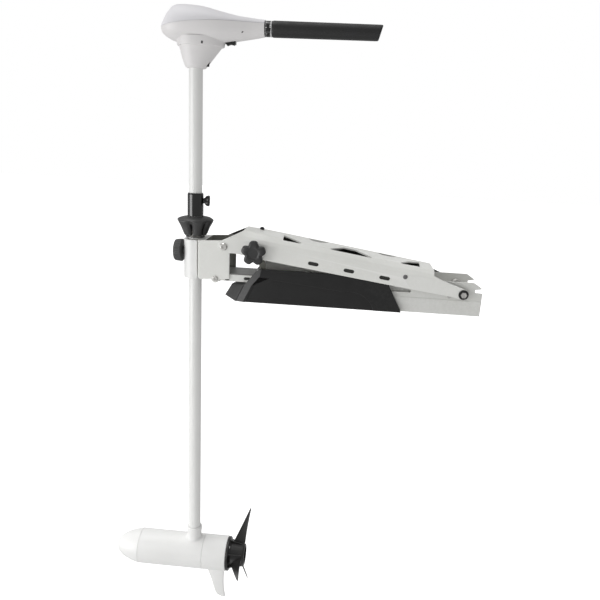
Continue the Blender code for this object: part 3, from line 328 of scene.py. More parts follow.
def turned(profile, axis, centre, steps=ROUND, closed=True):
    """Spin a profile of (along, radius) about an axis. An open profile starts and ends on the axis."""
    centre = Vector(centre)
    shape = bmesh.new()
    rings = []
    for along, radius in profile:
        points = [(radius * cos(angle), radius * sin(angle)) for angle in around(steps)]
        if radius < 1e-7:
            points = [(0.0, 0.0)]
        rings.append([shape.verts.new(to_axis(along, *point, axis) + centre) for point in points])
    pairs = list(zip(rings, rings[1:]))
    if closed:
        pairs.append((rings[-1], rings[0]))
    for near, far in pairs:
        for index in range(steps):
            following = (index + 1) % steps
            corners = [near[index % len(near)], near[following % len(near)], far[following % len(far)],
                       far[index % len(far)]]
            unique = list(dict.fromkeys(corners))
            if len(unique) > 2:
                shape.faces.new(unique)
    bmesh.ops.recalc_face_normals(shape, faces=shape.faces)
    return shape


def rod(radius, low, high, axis, centre, steps=ROUND):
    return turned([(low, 0.0), (low, radius), (high, radius), (high, 0.0)], axis, centre, steps, closed=False)


def rounded(points, radius, steps=5, closed=True):
    """Round an outline's corners. radius is one number, or one for each corner."""
    points = [Vector((p[0], p[1])) for p in points]
    count = len(points)
    radii = radius if isinstance(radius, (list, tuple)) else [radius] * count
    result = []
    for index, corner in enumerate(points):
        if radii[index] <= 0.0 or (not closed and index in (0, count - 1)):
            result.append((corner.x, corner.y))
            continue
        before = points[index - 1] - corner
        after = points[(index + 1) % count] - corner
        angle = before.angle(after)
        if angle > pi - 0.02 or angle < 0.02:
            result.append((corner.x, corner.y))
            continue
        reach = min(radii[index] / tan(angle / 2), 0.46 * before.length, 0.46 * after.length)
        true_radius = reach * tan(angle / 2)
        before, after = before.normalized(), after.normalized()
        centre = corner + (before + after).normalized() * (true_radius / sin(angle / 2))
        start = corner + before * reach - centre
        end = corner + after * reach - centre
        first = atan2(start.y, start.x)
        turn = (atan2(end.y, end.x) - first + pi) % tau - pi
        for step in range(steps + 1):
            place = first + turn * step / steps
            result.append((centre.x + true_radius * cos(place), centre.y + true_radius * sin(place)))
    return result


def arc(centre, radius, start, end, count):
    angles = [radians(start + (end - start) * index / (count - 1)) for index in range(count)]
    return [(centre[0] + radius * cos(a), centre[1] + radius * sin(a)) for a in angles]


def slot_outline(centre, length, width):
    half = (length - width) / 2
    ends = arc((half, 0.0), width / 2, -90, 90, 12) + arc((-half, 0.0), width / 2, 90, 270, 12)
    return [(centre[0] + x, centre[1] + z) for x, z in ends]


def lobed(stations, lobes, depth, axis, centre, phase=0.0, steps=240, narrow=1.5, bore=False):
    """A knob: rings of (along, radius, share of the lobe depth) whose radius waves around the axis.

    With a bore, the stations run round the knob's whole section.
    """
    rings = []
    for along, radius, share in stations:
        ring = []
        for angle in around(steps):
            wave = 0.5 - 0.5 * cos(lobes * (angle - phase))
            reach = radius - depth * share * wave ** narrow
            ring.append(to_axis(along, reach * cos(angle), reach * sin(angle), axis) + Vector(centre))
        rings.append(ring)
    return loft(rings, closed=bore)


def smooth_stations(stations, steps):
    """Catmull-Rom points between stations of equal length tuples."""
    result = []
    last = len(stations) - 1
    for index in range(last):
        before = stations[max(index - 1, 0)]
        here = stations[index]
        after = stations[index + 1]
        beyond = stations[min(index + 2, last)]
        for step in range(steps):
            t = step / steps
            values = []
            for p0, p1, p2, p3 in zip(before, here, after, beyond):
                values.append(0.5 * (2 * p1 + (p2 - p0) * t + (2 * p0 - 5 * p1 + 4 * p2 - p3) * t * t
                                     + (3 * p1 - p0 - 3 * p2 + p3) * t ** 3))
            result.append(tuple(values))
    result.append(tuple(stations[last]))
    return result


def temporary(shape, name="work"):
    mesh = bpy.data.meshes.new(name)
    bmesh.ops.recalc_face_normals(shape, faces=shape.faces)
    shape.to_mesh(mesh)
    shape.free()
    item = bpy.data.objects.new(name, mesh)
    bpy.context.collection.objects.link(item)
    return item


def apply_modifiers(item):
    graph = bpy.context.evaluated_depsgraph_get()
    mesh = bpy.data.meshes.new_from_object(item.evaluated_get(graph))
    old = item.data
    item.modifiers.clear()
    item.data = mesh
    bpy.data.meshes.remove(old)


def combine(item, shapes, operation):
    """Boolean a list of shapes with an object, one after another."""
    for shape in shapes:
        cutter = temporary(shape)
        modifier = item.modifiers.new("boolean", "BOOLEAN")
        modifier.operation = operation
        modifier.solver = "EXACT"
        modifier.object = cutter
        apply_modifiers(item)
        mesh = cutter.data
        bpy.data.objects.remove(cutter, do_unlink=True)
        bpy.data.meshes.remove(mesh)
    return item


def cut(item, *shapes):
    return combine(item, shapes, "DIFFERENCE")


def join(item, *shapes):
    return combine(item, shapes, "UNION")


def keep_inside(item, *shapes):
    return combine(item, shapes, "INTERSECT")


MERGE = 0.00001


def clean(item):
    """Merge what a Boolean leaves: doubled points and edges across flat faces."""
    shape = bmesh.new()
    shape.from_mesh(item.data)
    bmesh.ops.remove_doubles(shape, verts=shape.verts, dist=MERGE)
    bmesh.ops.dissolve_degenerate(shape, dist=MERGE, edges=shape.edges)
    bmesh.ops.dissolve_limit(shape, angle_limit=radians(0.5), verts=shape.verts, edges=shape.edges)
    shape.to_mesh(item.data)
    shape.free()


def show(item, name, material, body, nodes=(), slot=None, bevel=0.0, angle=40.0, segments=2, tidy=True):
    """Finish a piece: round its edges, shade it, give it its material and hang it on its body."""
    if isinstance(item, bmesh.types.BMesh):
        item = temporary(item)
        tidy = False
    item.name = name
    item.data.name = name
    if tidy:
        clean(item)
    if bevel:
        modifier = item.modifiers.new("edges", "BEVEL")
        modifier.width = bevel
        modifier.segments = segments
        modifier.limit_method = "ANGLE"
        modifier.angle_limit = radians(angle)
        modifier.use_clamp_overlap = True
        modifier.harden_normals = False
        apply_modifiers(item)
        item.data.name = name
    item.data.shade_smooth()
    item.data.set_sharp_from_angle(angle=radians(34))
    weighted = item.modifiers.new("normals", "WEIGHTED_NORMAL")
    weighted.keep_sharp = True
    apply_modifiers(item)
    item.data.name = name
    item.data.materials.clear()
    item.data.materials.append(MATERIALS[material])
    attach(item, body)
    if nodes:
        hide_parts(*nodes)
    return item


def paint(name, material):
    """Give a carried-over CAD node its detailed material."""
    for slot in frame["nodes"][name].material_slots:
        slot.material = MATERIALS[material]


def piece(item, node_name, material, body, extra=None, dark=None, **look):
    """Show a fine piece in place of the CAD node of that name, or with extra as an addition to it.

    dark gives each face's share of its material's inside tint: painted shade, and painted light where that tint
    is paler.
    """
    nodes = (node_name,) if extra is None else ()
    name = f"{node_name}_fine" if extra is None else f"{node_name}_{extra}"
    made = show(item, name, material, body, nodes, SLOTS[material], **look)
    if dark:
        shade = made.data.attributes.new("shade", "FLOAT", "FACE")
        for polygon in made.data.polygons:
            shade.data[polygon.index].value = float(dark(polygon.center, polygon.normal))
    return made


def moved(shape, matrix):
    bmesh.ops.transform(shape, matrix=matrix, verts=shape.verts)
    return shape


def turned_piece(profile, axis, centre, round_by=0.0004, steps=ROUND):
    """A fastener or a bush: an open profile with its corners rounded."""
    return turned(rounded(profile, round_by, 3, closed=False), axis, centre, steps, closed=False)


def folded(half, wall, lip, webs, radii):
    """The section of a sheet folded into a channel, with (outside, inside) heights of its web and bend radii."""
    outline = []
    for side, web, radius in zip((half, half - wall), webs, radii):
        corners = [(-side, lip), (-side, web), (side, web), (side, lip)]
        outline.append(rounded(corners, [0, radius, radius, 0], 6))
    return outline[0] + outline[1][::-1]


def stepped(profile, side):
    """A profile of (along, radius) turned to face one side of the object."""
    return [(side * along, radius) for along, radius in profile]


def stud(radius, low, high, axis, centre, round_by):
    """A plain pin with its ends' edges rounded."""
    return turned_piece([(low, 0.0), (low, radius), (high, radius), (high, 0.0)], axis, centre, round_by)


def slab(outline, reach):
    """An outline through the object's middle plane, as far as reach to either side."""
    return prism(outline, -reach, reach)


def drill(item, radius, reach, centre):
    """Bore a hole across the object, as far as reach to either side of its middle plane."""
    return cut(item, rod(radius, -reach, reach, "Y", centre))


def stand(outline, reach):
    """The points of an XZ outline, each at the Y that its height gives."""
    return [Vector((x, reach(z), z)) for x, z in outline]


def ring_piece(low, high, inner, outer, axis, centre, round_by=0.0004, steps=SMOOTH):
    profile = rounded(rectangle(low, inner, high, outer, upward=True), round_by, 3)
    return turned(profile, axis, centre, steps)


# ---- deck base ----

BASE_HALF = 0.046
BASE_WALL = 0.003
BASE_FLOOR = 0.004
BASE_HEIGHT = 0.072
BASE_REACH = 0.06
BAND_TOP = 0.08
BAND_SIDE = 0.07


def base_channel():
    half = BASE_HALF
    section = folded(half, BASE_WALL, 0.09, (0.0, BASE_FLOOR), (0.003, 0.002))
    item = temporary(prism(section, -0.26, 0.28, "X"))
    outline = [(-0.245, -0.01), (0.2707, -0.01), (0.2717, 0.05), (0.2568, 0.0505), (0.2558, 0.0575),
               (0.2713, 0.0598), (0.2533, BASE_HEIGHT), (-0.203, BASE_HEIGHT), (-0.2391, 0.0101)]
    radii = [0, 0, 0.0015, 0.0022, 0.0022, 0.0012, 0.008, 0.003, 0]
    for side in (-1, 1):
        ledge = [(side * (half - 0.0006), 0.001), (side * (half + 0.0015), 0.0016),
                 (side * (half + 0.0015), 0.0316), (side * (half - 0.0006), 0.0345)]
        run = prism(ledge, 0.088, 0.27, "X")
        for vert in run.verts:
            if vert.co.x < 0.1:
                vert.co.x = 0.1072 - 0.0172 * vert.co.z / 0.034
        join(item, run)
    keep_inside(item, slab(rounded(outline, radii, 5), BASE_REACH))
    window = [(0.068, 0.043), (0.1245, 0.043), (0.1225, 0.0495), (0.078, 0.056), (0.062, 0.056)]
    cut(item, slab(rounded(window, 0.0022, 5), BASE_REACH))
    drill(item, PIVOT_HOLE, BASE_REACH, ARM_PIVOT)
    drill(item, BOLT_HOLE, BASE_REACH, LINK_PIVOT)
    for x, y in ((-0.18, -0.028), (-0.18, 0.028), (0.15, -0.028), (0.15, 0.028)):
        cut(item, rod(0.0035, -0.01, 0.01, "Z", (x, y, 0.0), SMALL))
    for x in (-0.12, 0.05):
        cut(item, prism(slot_outline((x, 0.0), 0.06, 0.016), -0.01, 0.01, "Z"))

    def dark(centre, normal):
        """Painted light: the far side's inner face is painted paler, where it catches more light."""
        return normal.y < -0.5 and 0.0425 < centre.y < 0.0435

    piece(item, "base_channel", "base_white_painted_shade", "mount", bevel=0.0006, dark=dark)


def nose_cover():
    def outer(inset):
        low = 0.0005 if inset == 0.0 else -0.01
        front = -0.281 + 1.5 * inset
        bottom = [(front, 0.004), (-0.249 + inset, 0.053 - inset), (-0.243, 0.0476 - inset)]
        top = [(front + 0.0146, 0.004), (-0.2325 + inset, 0.05 - inset), (-0.2246, 0.0474 - inset)]
        heights = (0.0256 - inset, 0.037 - inset, 0.037 - inset)
        ring_low = [Vector((x, -y, low)) for x, y in reversed(bottom)]
        ring_low += [Vector((x, y, low)) for x, y in bottom]
        port = [Vector((x, -y, z)) for (x, y), z in zip(top, heights)]
        starboard = [Vector((x, y, z)) for (x, y), z in zip(top, heights)]
        return loft([ring_low, list(reversed(port)) + starboard])

    item = temporary(outer(0.0))
    cut(item, outer(0.003))
    slant = [(-0.2514, -0.01), (0.0, -0.01), (0.0, 0.08), (-0.1989, 0.08)]
    cut(item, slab(slant, BASE_HALF + GAP))
    # Every face takes the paler inside tint: painted sheen over the whole cover.
    piece(item, "nose_cover", "black_moulded", "mount", bevel=0.0007, segments=3, dark=lambda *face: True)


def cover_reach(z):
    return 0.0525 + 0.005 * (1.0 - z / BASE_HEIGHT)


def band_line(x):
    """The height at which the side cover's upper band starts to lean inwards."""
    return 0.0573 - 0.106 * (x + 0.1997)


def side_cover(name, side):
    """The moulded panel: a leaning upper band, a sunk main panel with a curved end and a bevelled front."""
    rest = [(0.1057, 0.0006), (0.0765, 0.057), (-0.034, 0.0725)]
    inner = [(-0.2204, 0.0375), (-0.2412, 0.0006)] + rest + [(-0.199, 0.0732), (-0.203, 0.069)]
    middle = [(-0.2306, 0.0375), (-0.2478, 0.0006)] + rest + [(-0.199, 0.0732), (-0.2055, 0.069)]
    outer = [(-0.2146, 0.0375), (-0.232, 0.0006)] + rest + [(-0.18, 0.0732), (-0.1866, 0.07)]
    near = stand(inner, lambda z: side * (BASE_HALF + GAP))
    between = stand(middle, lambda z: side * (cover_reach(z) - 0.0042))
    far = stand(outer, lambda z: side * cover_reach(z))
    item = temporary(loft([near, between, far]))
    rings = []
    for step in range(41):
        x = -0.208 + 0.32 * step / 40
        line = band_line(x)
        reach = cover_reach(line)
        lean = 0.0052 * (1.0 - 0.85 * min(max((x + 0.205) / 0.25, 0.0), 1.0))
        corners = [(reach + 0.0001, line), (BAND_SIDE, line), (BAND_SIDE, BAND_TOP),
                   (reach - lean * (BAND_TOP - line) / 0.022, BAND_TOP)]
        rings.append([Vector((x, side * y, z)) for y, z in corners])
    cut(item, loft(rings))
    swoosh = smooth_stations([(-0.008, 0.0385), (0.015, 0.0345), (0.0308, 0.0258), (0.0398, 0.017),
                              (0.0449, 0.007), (0.048, -0.002)], 6)
    places = [-0.1985 + 0.1905 * step / 24 for step in range(24)]
    edge = [(x, band_line(x) - 0.0016) for x in places]
    outline = [(-0.2275, -0.002), (-0.2104, 0.0375)] + edge + swoosh
    sunk = [stand(outline, lambda z, d=depth: side * (cover_reach(z) - d)) for depth in (0.0012, -0.004)]
    cut(item, loft(sunk))
    pocket = [(-0.226, 0.004), (0.0995, 0.004), (0.074, 0.0545), (-0.035, 0.068), (-0.184, 0.068)]
    near = stand(pocket, lambda z: side * 0.04)
    far = stand(pocket, lambda z: side * (min(cover_reach(z), 0.0535) - 0.0046))
    cut(item, loft([near, far]))

    def front_strip(centre, normal):
        """Painted sheen: the bevel along the front edge is painted paler, like the nose cover, for the light it
        catches.
        """
        return normal.x < -0.15 and centre.x < -0.17

    piece(item, name, "black_moulded", "mount", bevel=0.0006, angle=14.0, dark=front_strip)


def latch():
    inside = -(BASE_HALF - BASE_WALL - GAP)
    outline = [(-0.178, 0.04), (-0.168, 0.046), (-0.1865, 0.07), (-0.1885, 0.09), (-0.199, 0.12),
               (-0.205, 0.125), (-0.217, 0.124), (-0.221, 0.112), (-0.215, 0.102), (-0.204, 0.0885),
               (-0.1965, 0.07), (-0.19, 0.052)]
    bracket = temporary(prism(rounded(outline, 0.003, 5), inside, inside + 0.003))
    cut(bracket, rod(BOLT_HOLE, -0.06, 0.0, "Y", LATCH))
    piece(bracket, "latch_bracket", "strap_grey", "mount", bevel=0.0005)
    profile = [(-0.066, 0.0), (-0.066, 0.004), (-0.039, 0.004), (-0.039, 0.0065), (-0.036, 0.0065),
               (-0.036, 0.0)]
    piece(turned_piece(profile, "Y", LATCH, 0.0005), "latch_stud", "zinc_steel", "mount")
    outer = smooth_stations([(-0.0722, 0.01, 0.0), (-0.0738, 0.016, 0.4), (-0.0725, 0.0235, 1.0),
                             (-0.069, 0.026, 1.0), (-0.062, 0.026, 1.0), (-0.0585, 0.0225, 0.9),
                             (-0.0565, 0.013, 0.1), (-0.055, 0.0102, 0.0), (-0.0536, 0.01, 0.0)], 4)
    knob = temporary(lobed(outer, 5, 0.007, "Y", LATCH, radians(90), narrow=2.2))
    cut(knob, rod(BOLT_HOLE, -0.0665, -0.04, "Y", LATCH))
    piece(knob, "star_knob", "knob_grey", "star_knob")


def base_fasteners():
    inner = BASE_HALF - BASE_WALL - GAP
    outer = 0.053 + 0.0021
    profile = [(inner - 0.0045, 0.0), (inner - 0.0045, 0.0105), (inner - 0.002, 0.0135), (inner, 0.0135),
               (inner, 0.005), (outer + 0.001, 0.005), (outer + 0.001, 0.0)]
    for name, side in SIDES:
        bolt = temporary(turned_piece(stepped(profile, side), "Y", ARM_PIVOT, 0.0005))
        join(bolt, rod(0.0066, *sorted((side * outer, side * (outer + 0.004))), "Y", ARM_PIVOT, 6))
        socket = sorted((side * (outer + 0.0022), side * (outer + 0.006)))
        cut(bolt, rod(0.0034, *socket, "Y", ARM_PIVOT, SMALL))
        piece(bolt, f"pivot_bolt_{name}", "zinc_steel", "mount", bevel=0.0004)
    piece(stud(0.004, -0.0475, 0.0475, "Y", LINK_PIVOT, 0.0006), "link_pin", "zinc_steel", "mount")


# ---- arm ----

ARM_PLACE = Matrix.Translation(ARM_PIVOT) @ Matrix.Rotation(ARM_TILT, 4, "Y")
ARM_REACH = 0.07
ARM_SLOT_FLOOR = 0.0512
CROSS_PIN = (-0.1262, 0.0136)
BUMPER_X = -0.447
LINK_REACH = 0.06
LINK_SLOT_FLOOR = 0.0345


def arm_top(x):
    """The height of the arm's top face in its own frame."""
    return 0.0365 + 0.0125 * (-x - 0.075)


def inward(centre, normal):
    """How squarely a face of a channel's side looks towards the middle."""
    return -normal.y * copysign(1.0, centre.y)


def arm_section(x):
    blend = min(max((x + 0.48) / 0.06, 0.0), 1.0)
    blend = blend * blend * (3.0 - 2.0 * blend)
    half = 0.044 + 0.009 * blend
    top = arm_top(x)
    low = -0.02
    wall = 0.003
    outer = [(-half, low), (-half, 0.022), (-half + 0.004, 0.03), (-half + 0.014, top)]
    inner = [(-half + wall, low), (-half + wall, 0.021), (-half + 0.004 + wall * 0.8, 0.0285),
             (-half + 0.015, top - wall)]
    outer += [(-y, z) for y, z in reversed(outer)]
    inner += [(-y, z) for y, z in reversed(inner)]
    outer = rounded(outer, [0, 0.007, 0.006, 0.0055, 0.0055, 0.006, 0.007, 0], 5, closed=False)
    inner = rounded(inner, [0, 0.004, 0.003, 0.0025, 0.0025, 0.003, 0.004, 0], 5, closed=False)
    return [Vector((x, y, z)) for y, z in outer + list(reversed(inner))]


def arm_channel():
    places = [-0.535, -0.5] + [-0.48 + 0.06 * k / 14 for k in range(15)] + [0.018]
    item = temporary(loft([arm_section(x) for x in places]))
    front = arc((-ARM_LENGTH, 0.0), 0.014, 270, 130, 20)
    top = rounded([front[-1], (-0.48, 0.0395), (-0.474, 0.055), (-0.07, 0.055), (-0.068, 0.0262),
                   (-0.0455, 0.0202), (-0.018, 0.0152)], [0, 0.003, 0, 0, 0.003, 0.004, 0], 5, closed=False)
    tail = arc((0.0, 0.0), 0.011, 75, -100, 20)
    low = rounded([tail[-1], (-0.0225, -0.0092), (-0.11, -0.01), (-0.492, -0.01)], 0.003, 4, closed=False)
    keep_inside(item, slab(front + top[1:] + tail + low[1:], ARM_REACH))
    windows = [
        [(-0.396, 0.008), (-0.3925, -0.0415), (-0.35, -0.0408)],
        [(-0.2915, -0.037), (-0.2625, 0.0084), (-0.2352, 0.0068), (-0.199, -0.0402), (-0.289, -0.0402)],
        [(-0.1406, -0.0315), (-0.1198, 0.0034), (-0.095, 0.0206), (-0.098, -0.032), (-0.1362, -0.0386)],
        [(-0.346, 0.031), (-0.333, 0.012), (-0.312, 0.012), (-0.296, 0.031)],
        [(-0.19, 0.033), (-0.178, 0.017), (-0.158, 0.017), (-0.142, 0.033)],
    ]
    for outline in windows:
        cut(item, prism(rounded(outline, 0.0024, 6), 0.0245, 0.06, "Z"))
    # The slots are shallow pockets on the port side, with painted shade on their floors where the dark inside
    # would show.
    for x in (-0.32, -0.2437, -0.1676):
        cut(item, prism(slot_outline((x, 0.0026), 0.0225, 0.008), -ARM_REACH, -ARM_SLOT_FLOOR))
    slot = [(-0.4555, -0.03), (-0.4395, -0.03), (-0.4395, 0.011), (-0.443, 0.014), (-0.452, 0.014),
            (-0.4555, 0.011)]
    cut(item, prism(rounded(slot, [0, 0, 0.001, 0.002, 0.002, 0.001], 4), -ARM_REACH, -0.03))
    for (x, z), radius in (((0.0, 0.0), 0.0076), ((-ARM_LENGTH, 0.0), PIVOT_HOLE), (CROSS_PIN, BOLT_HOLE)):
        drill(item, radius, ARM_REACH, (x, 0.0, z))
    clean(item)
    item.data.transform(ARM_PLACE)
    back = ARM_PLACE.inverted()

    def dark(centre, normal):
        """Painted shade on the sheet's inner side, the underside of its top and the shallow slots' floors, in
        the arm's own frame.
        """
        centre, normal = back @ centre, back.to_3x3() @ normal
        slot_floor = centre.x > -0.34 and normal.y < -0.9 and abs(centre.y + ARM_SLOT_FLOOR) < GAP
        underside = normal.z < -0.3 and centre.z > -0.004
        wall = inward(centre, normal) > 0.5 and abs(centre.y) > 0.035 and centre.z < 0.0225
        return slot_floor or underside or wall

    piece(item, "arm_channel", "arm_white", "arm", bevel=0.0005, dark=dark)


def arm_fittings():
    at = ARM_PLACE @ Vector((CROSS_PIN[0], 0.0, CROSS_PIN[1]))
    half = 0.0533
    end = [(half, 0.004), (half, 0.0048), (half + 0.0003, 0.0048), (half + 0.0015, 0.0036),
           (half + 0.0015, 0.0)]
    pin = [(-along, radius) for along, radius in reversed(end)] + end
    piece(turned_piece(pin, "Y", at, 0.0005), "arm_cross_pin", "dark_steel", "arm")
    bumper = turned_piece([(0.0, 0.0), (0.0, 0.0055), (0.004, 0.0045), (0.0055, 0.002), (0.0055, 0.0)], "Z",
                          (0.0, 0.0, 0.0), 0.0014)
    place = Matrix.Translation(ARM_PLACE @ Vector((BUMPER_X, 0.02, arm_top(BUMPER_X) + 0.0004)))
    bumper = moved(bumper, place @ Matrix.Rotation(ARM_TILT + 0.0125, 4, "Y"))
    piece(bumper, "arm_bumper", "soft_rubber", "arm")
    bushing = [(0.0463, PIVOT_HOLE), (0.0463, 0.0073), (0.0533, 0.0073), (0.0533, 0.0105), (0.0548, 0.0105),
               (0.0548, PIVOT_HOLE)]
    for name, side in SIDES:
        profile = rounded(stepped(bushing, side), [0, 0, 0, 0.0003, 0.0006, 0], 3)
        piece(turned(profile, "Y", ARM_PIVOT, SMOOTH), f"rear_bushing_{name}", "black_satin", "arm")
    reach = 0.0443
    bolt = [(-reach - 0.0035, 0.0), (-reach - 0.0035, 0.006), (-reach - 0.0015, 0.008), (-reach, 0.008),
            (-reach, 0.005), (reach + 0.008, 0.005), (reach + 0.008, 0.0)]
    item = temporary(turned_piece(bolt, "Y", EYE, 0.0006))
    cut(item, rod(0.0036, -reach - 0.006, -reach - 0.0014, "Y", EYE, 6))
    piece(item, "upper_pivot_bolt", "zinc_steel", "arm")
    nut = temporary(rod(0.0092, reach + GAP, reach + 0.006, "Y", EYE, 6))
    cut(nut, rod(PIVOT_HOLE, 0.0, 0.07, "Y", EYE))
    piece(nut, "upper_pivot_nut", "zinc_steel", "arm", bevel=0.0005)


def lower_link():
    half, wall, top = 0.036, 0.0025, 0.0567
    section = folded(half, wall, 0.02, (top, top - wall), (0.0045, 0.002))
    item = temporary(prism(section, -0.33, 0.25, "X"))
    front = arc((LINK_EYE.x, LINK_EYE.z), 0.01, 270, 110, 16)
    rear = arc((LINK_PIVOT.x, LINK_PIVOT.z), 0.01, 70, -90, 16)
    outline = front + [(LINK_EYE.x + 0.012, 0.058), (LINK_PIVOT.x - 0.014, 0.058)] + rear
    outline += [(LINK_PIVOT.x - 0.012, 0.0359), (LINK_EYE.x + 0.012, 0.0399)]
    keep_inside(item, slab(outline, 0.05))
    free = half - wall
    cut(item, box((-0.34, -free, 0.0), (LINK_EYE.x + 0.02, free, 0.1)))
    cut(item, box((LINK_PIVOT.x - 0.022, -free, 0.0), (0.25, free, 0.1)))
    # The slots are shallow pockets on the port side, with painted shade on their floors.
    for x, z, length in ((-0.2268, 0.0472, 0.015), (-0.271, 0.044, 0.011), (-0.1, 0.0472, 0.03),
                         (0.05, 0.0472, 0.03)):
        cut(item, prism(slot_outline((x, z), length, 0.0065), -LINK_REACH, -LINK_SLOT_FLOOR))
    drill(item, BOLT_HOLE, LINK_REACH, LINK_PIVOT)
    drill(item, 0.005, LINK_REACH, LINK_EYE)

    def dark(centre, normal):
        """Painted shade: full in the slot floors and part of the way on the sheet's inner side and its level
        faces near the top.
        """
        if normal.y < -0.9 and abs(centre.y + LINK_SLOT_FLOOR) < GAP:
            return 1.0
        inner = inward(centre, normal) > 0.5 and abs(centre.y) > 0.03
        return 0.74 if inner or (abs(normal.z) > 0.5 and centre.z > 0.045) else 0.0

    piece(item, "lower_link", "arm_white", "link", bevel=0.0005, dark=dark)


# ---- column ----

def column_block():
    plan = [(-0.3372, -0.0275), (-0.3338, -0.037), (-0.333, -0.04), (-0.2655, -0.04)]
    plan += [(x, -y) for x, y in reversed(plan)]
    item = temporary(prism(rounded(plan, [0.0006, 0.0006, 0.0012, 0.0015] * 2, 4), 0.02, 0.14, "Z"))
    side = [(-0.35, 0.1245), (-0.266, 0.1293), (-0.2652, 0.0449)]
    side += arc((LINK_EYE.x, LINK_EYE.z), 0.0092, -10, -170, 16)
    side += [(-0.329, 0.0405), (-0.3333, 0.044), (-0.35, 0.044)]
    keep_inside(item, slab(side, 0.06))
    cut(item, box((-0.319, -0.037, 0.0), (-0.25, 0.037, 0.2)))
    cut(item, rod(BEARING_SEAT, 0.0, 0.2, "Z", SHAFT, SMOOTH))
    drill(item, PIVOT_HOLE, 0.06, EYE)
    drill(item, BOLT_HOLE, 0.06, LINK_EYE)

    def dark(centre, normal):
        """Painted shade on the walls of the pocket behind the column."""
        pocket = abs(centre.y) < 0.0376 and centre.x > -0.3195
        return pocket and (inward(centre, normal) > 0.5 or (normal.x > 0.5 and centre.x < -0.318))

    piece(item, "column_block", "powder_white", "column", bevel=0.001, segments=3, dark=dark)


def column_fittings():
    radius = 0.0245
    square = [(SHAFT_X, -radius), (-0.3402, -radius), (-0.3402, radius), (SHAFT_X, radius)]
    outline = arc((SHAFT_X, 0.0), radius, 90, 270, 49) + rounded(square, [0, 0.002, 0.002, 0], 4)[1:-1]
    cap = temporary(prism(outline, 0.037, 0.1225, "Z"))
    cut(cap, rod(BEARING_SEAT, 0.0, 0.2, "Z", SHAFT, SMOOTH))
    cut(cap, rod(BOLT_HOLE, -0.03, 0.0, "X", (SHAFT_X, 0.0, CLAMP_Z)))
    piece(cap, "clamp_cap", "cast_white", "column", bevel=0.0012, segments=3)
    for name, low, high, inner, outer, material, corner in (
            ("upper_bearing", 0.1, 0.122, SHAFT_HOLE, 0.0162, "nylon", 0.0003),
            ("lower_bearing", 0.042, 0.065, SHAFT_HOLE, 0.0162, "nylon", 0.0003),
            ("seat_washer", 0.1268, 0.1283, 0.015, 0.021, "dark_steel", 0.0004),
            ("steering_collet", 0.1288, 0.146, SHAFT_HOLE, 0.016, "nylon", 0.0005)):
        piece(ring_piece(low, high, inner, outer, "Z", SHAFT, corner), name, material, "column")
    profile = [(0.0366, 0.0), (0.0366, 0.004), (0.0403, 0.004), (0.0403, 0.0062), (0.0416, 0.006),
               (0.0428, 0.0046), (0.0428, 0.0)]
    for name, side in SIDES:
        bolt = temporary(turned_piece(stepped(profile, side), "Y", LINK_EYE, 0.0005))
        cut(bolt, rod(0.0026, *sorted((side * 0.0414, side * 0.045)), "Y", LINK_EYE, 6))
        piece(bolt, f"link_bolt_{name}", "zinc_steel", "column")


def tension_knob():
    """A domed disc with six thick petals below it. The slots between the petals reach the collet."""
    outer = [(0.1312, 0.0215, 0.0), (0.131, 0.0232, 0.0), (0.1322, 0.0245, 0.1), (0.1345, 0.026, 0.4),
             (0.14, 0.0286, 0.9), (0.148, 0.0318, 1.0), (0.156, 0.0362, 1.0), (0.16, 0.0383, 1.0),
             (0.1622, 0.0393, 0.7), (0.164, 0.0394, 0.4), (0.166, 0.0384, 0.2), (0.168, 0.035, 0.1),
             (0.17, 0.029, 0.0), (0.1714, 0.022, 0.0), (0.1718, 0.018, 0.0), (0.1716, 0.0156, 0.0)]
    outer = smooth_stations(outer, 3)
    bore = [(0.1708, 0.015, 0.0), (0.147, 0.015, 0.0), (0.1465, 0.0155, 0.0), (0.1465, 0.0163, 0.0),
            (0.1318, 0.0163, 0.0)]
    petals = 6
    phase = radians(-66)
    item = temporary(lobed(outer + bore, petals, 0.008, "Z", SHAFT, phase, 288, 3.0, bore=True))
    wedge = rounded([(0.0156, -0.0012), (0.05, -0.0052), (0.05, 0.0052), (0.0156, 0.0012)], 0.0008, 4)
    for index in range(petals):
        turn = Matrix.Rotation(phase + tau * (index + 0.5) / petals, 4, "Z")
        cut(item, moved(prism(wedge, 0.12, 0.1572, "Z"), Matrix.Translation(SHAFT) @ turn))
    piece(item, "tension_knob", "pale_knob", "tension_knob", bevel=0.0009, angle=50.0, segments=3)


def clamp_knob():
    centre = (SHAFT_X, 0.0, CLAMP_Z)
    stations = smooth_stations([
        (-0.044, 0.006, 0.0), (-0.0452, 0.015, 0.0), (-0.0454, 0.0195, 0.3), (-0.0446, 0.0222, 0.8),
        (-0.0425, 0.0236, 1.0), (-0.037, 0.0243, 1.0), (-0.03, 0.0249, 1.0), (-0.0282, 0.0243, 0.9),
        (-0.0273, 0.0225, 0.5), (-0.027, 0.011, 0.0), (-0.0262, 0.0092, 0.0), (-0.0252, 0.009, 0.0)], 4)
    knob = temporary(lobed(stations, 24, 0.0007, "X", centre, steps=288))
    cut(knob, rod(BOLT_HOLE, -0.04, -0.02, "X", centre))
    piece(knob, "clamp_knob", "pale_knob", "clamp_knob")
    rest = stud(0.004, -0.0395, -0.0168, "X", centre, 0.0005)
    piece(rest, "clamp_stud", "zinc_steel", "clamp_knob")


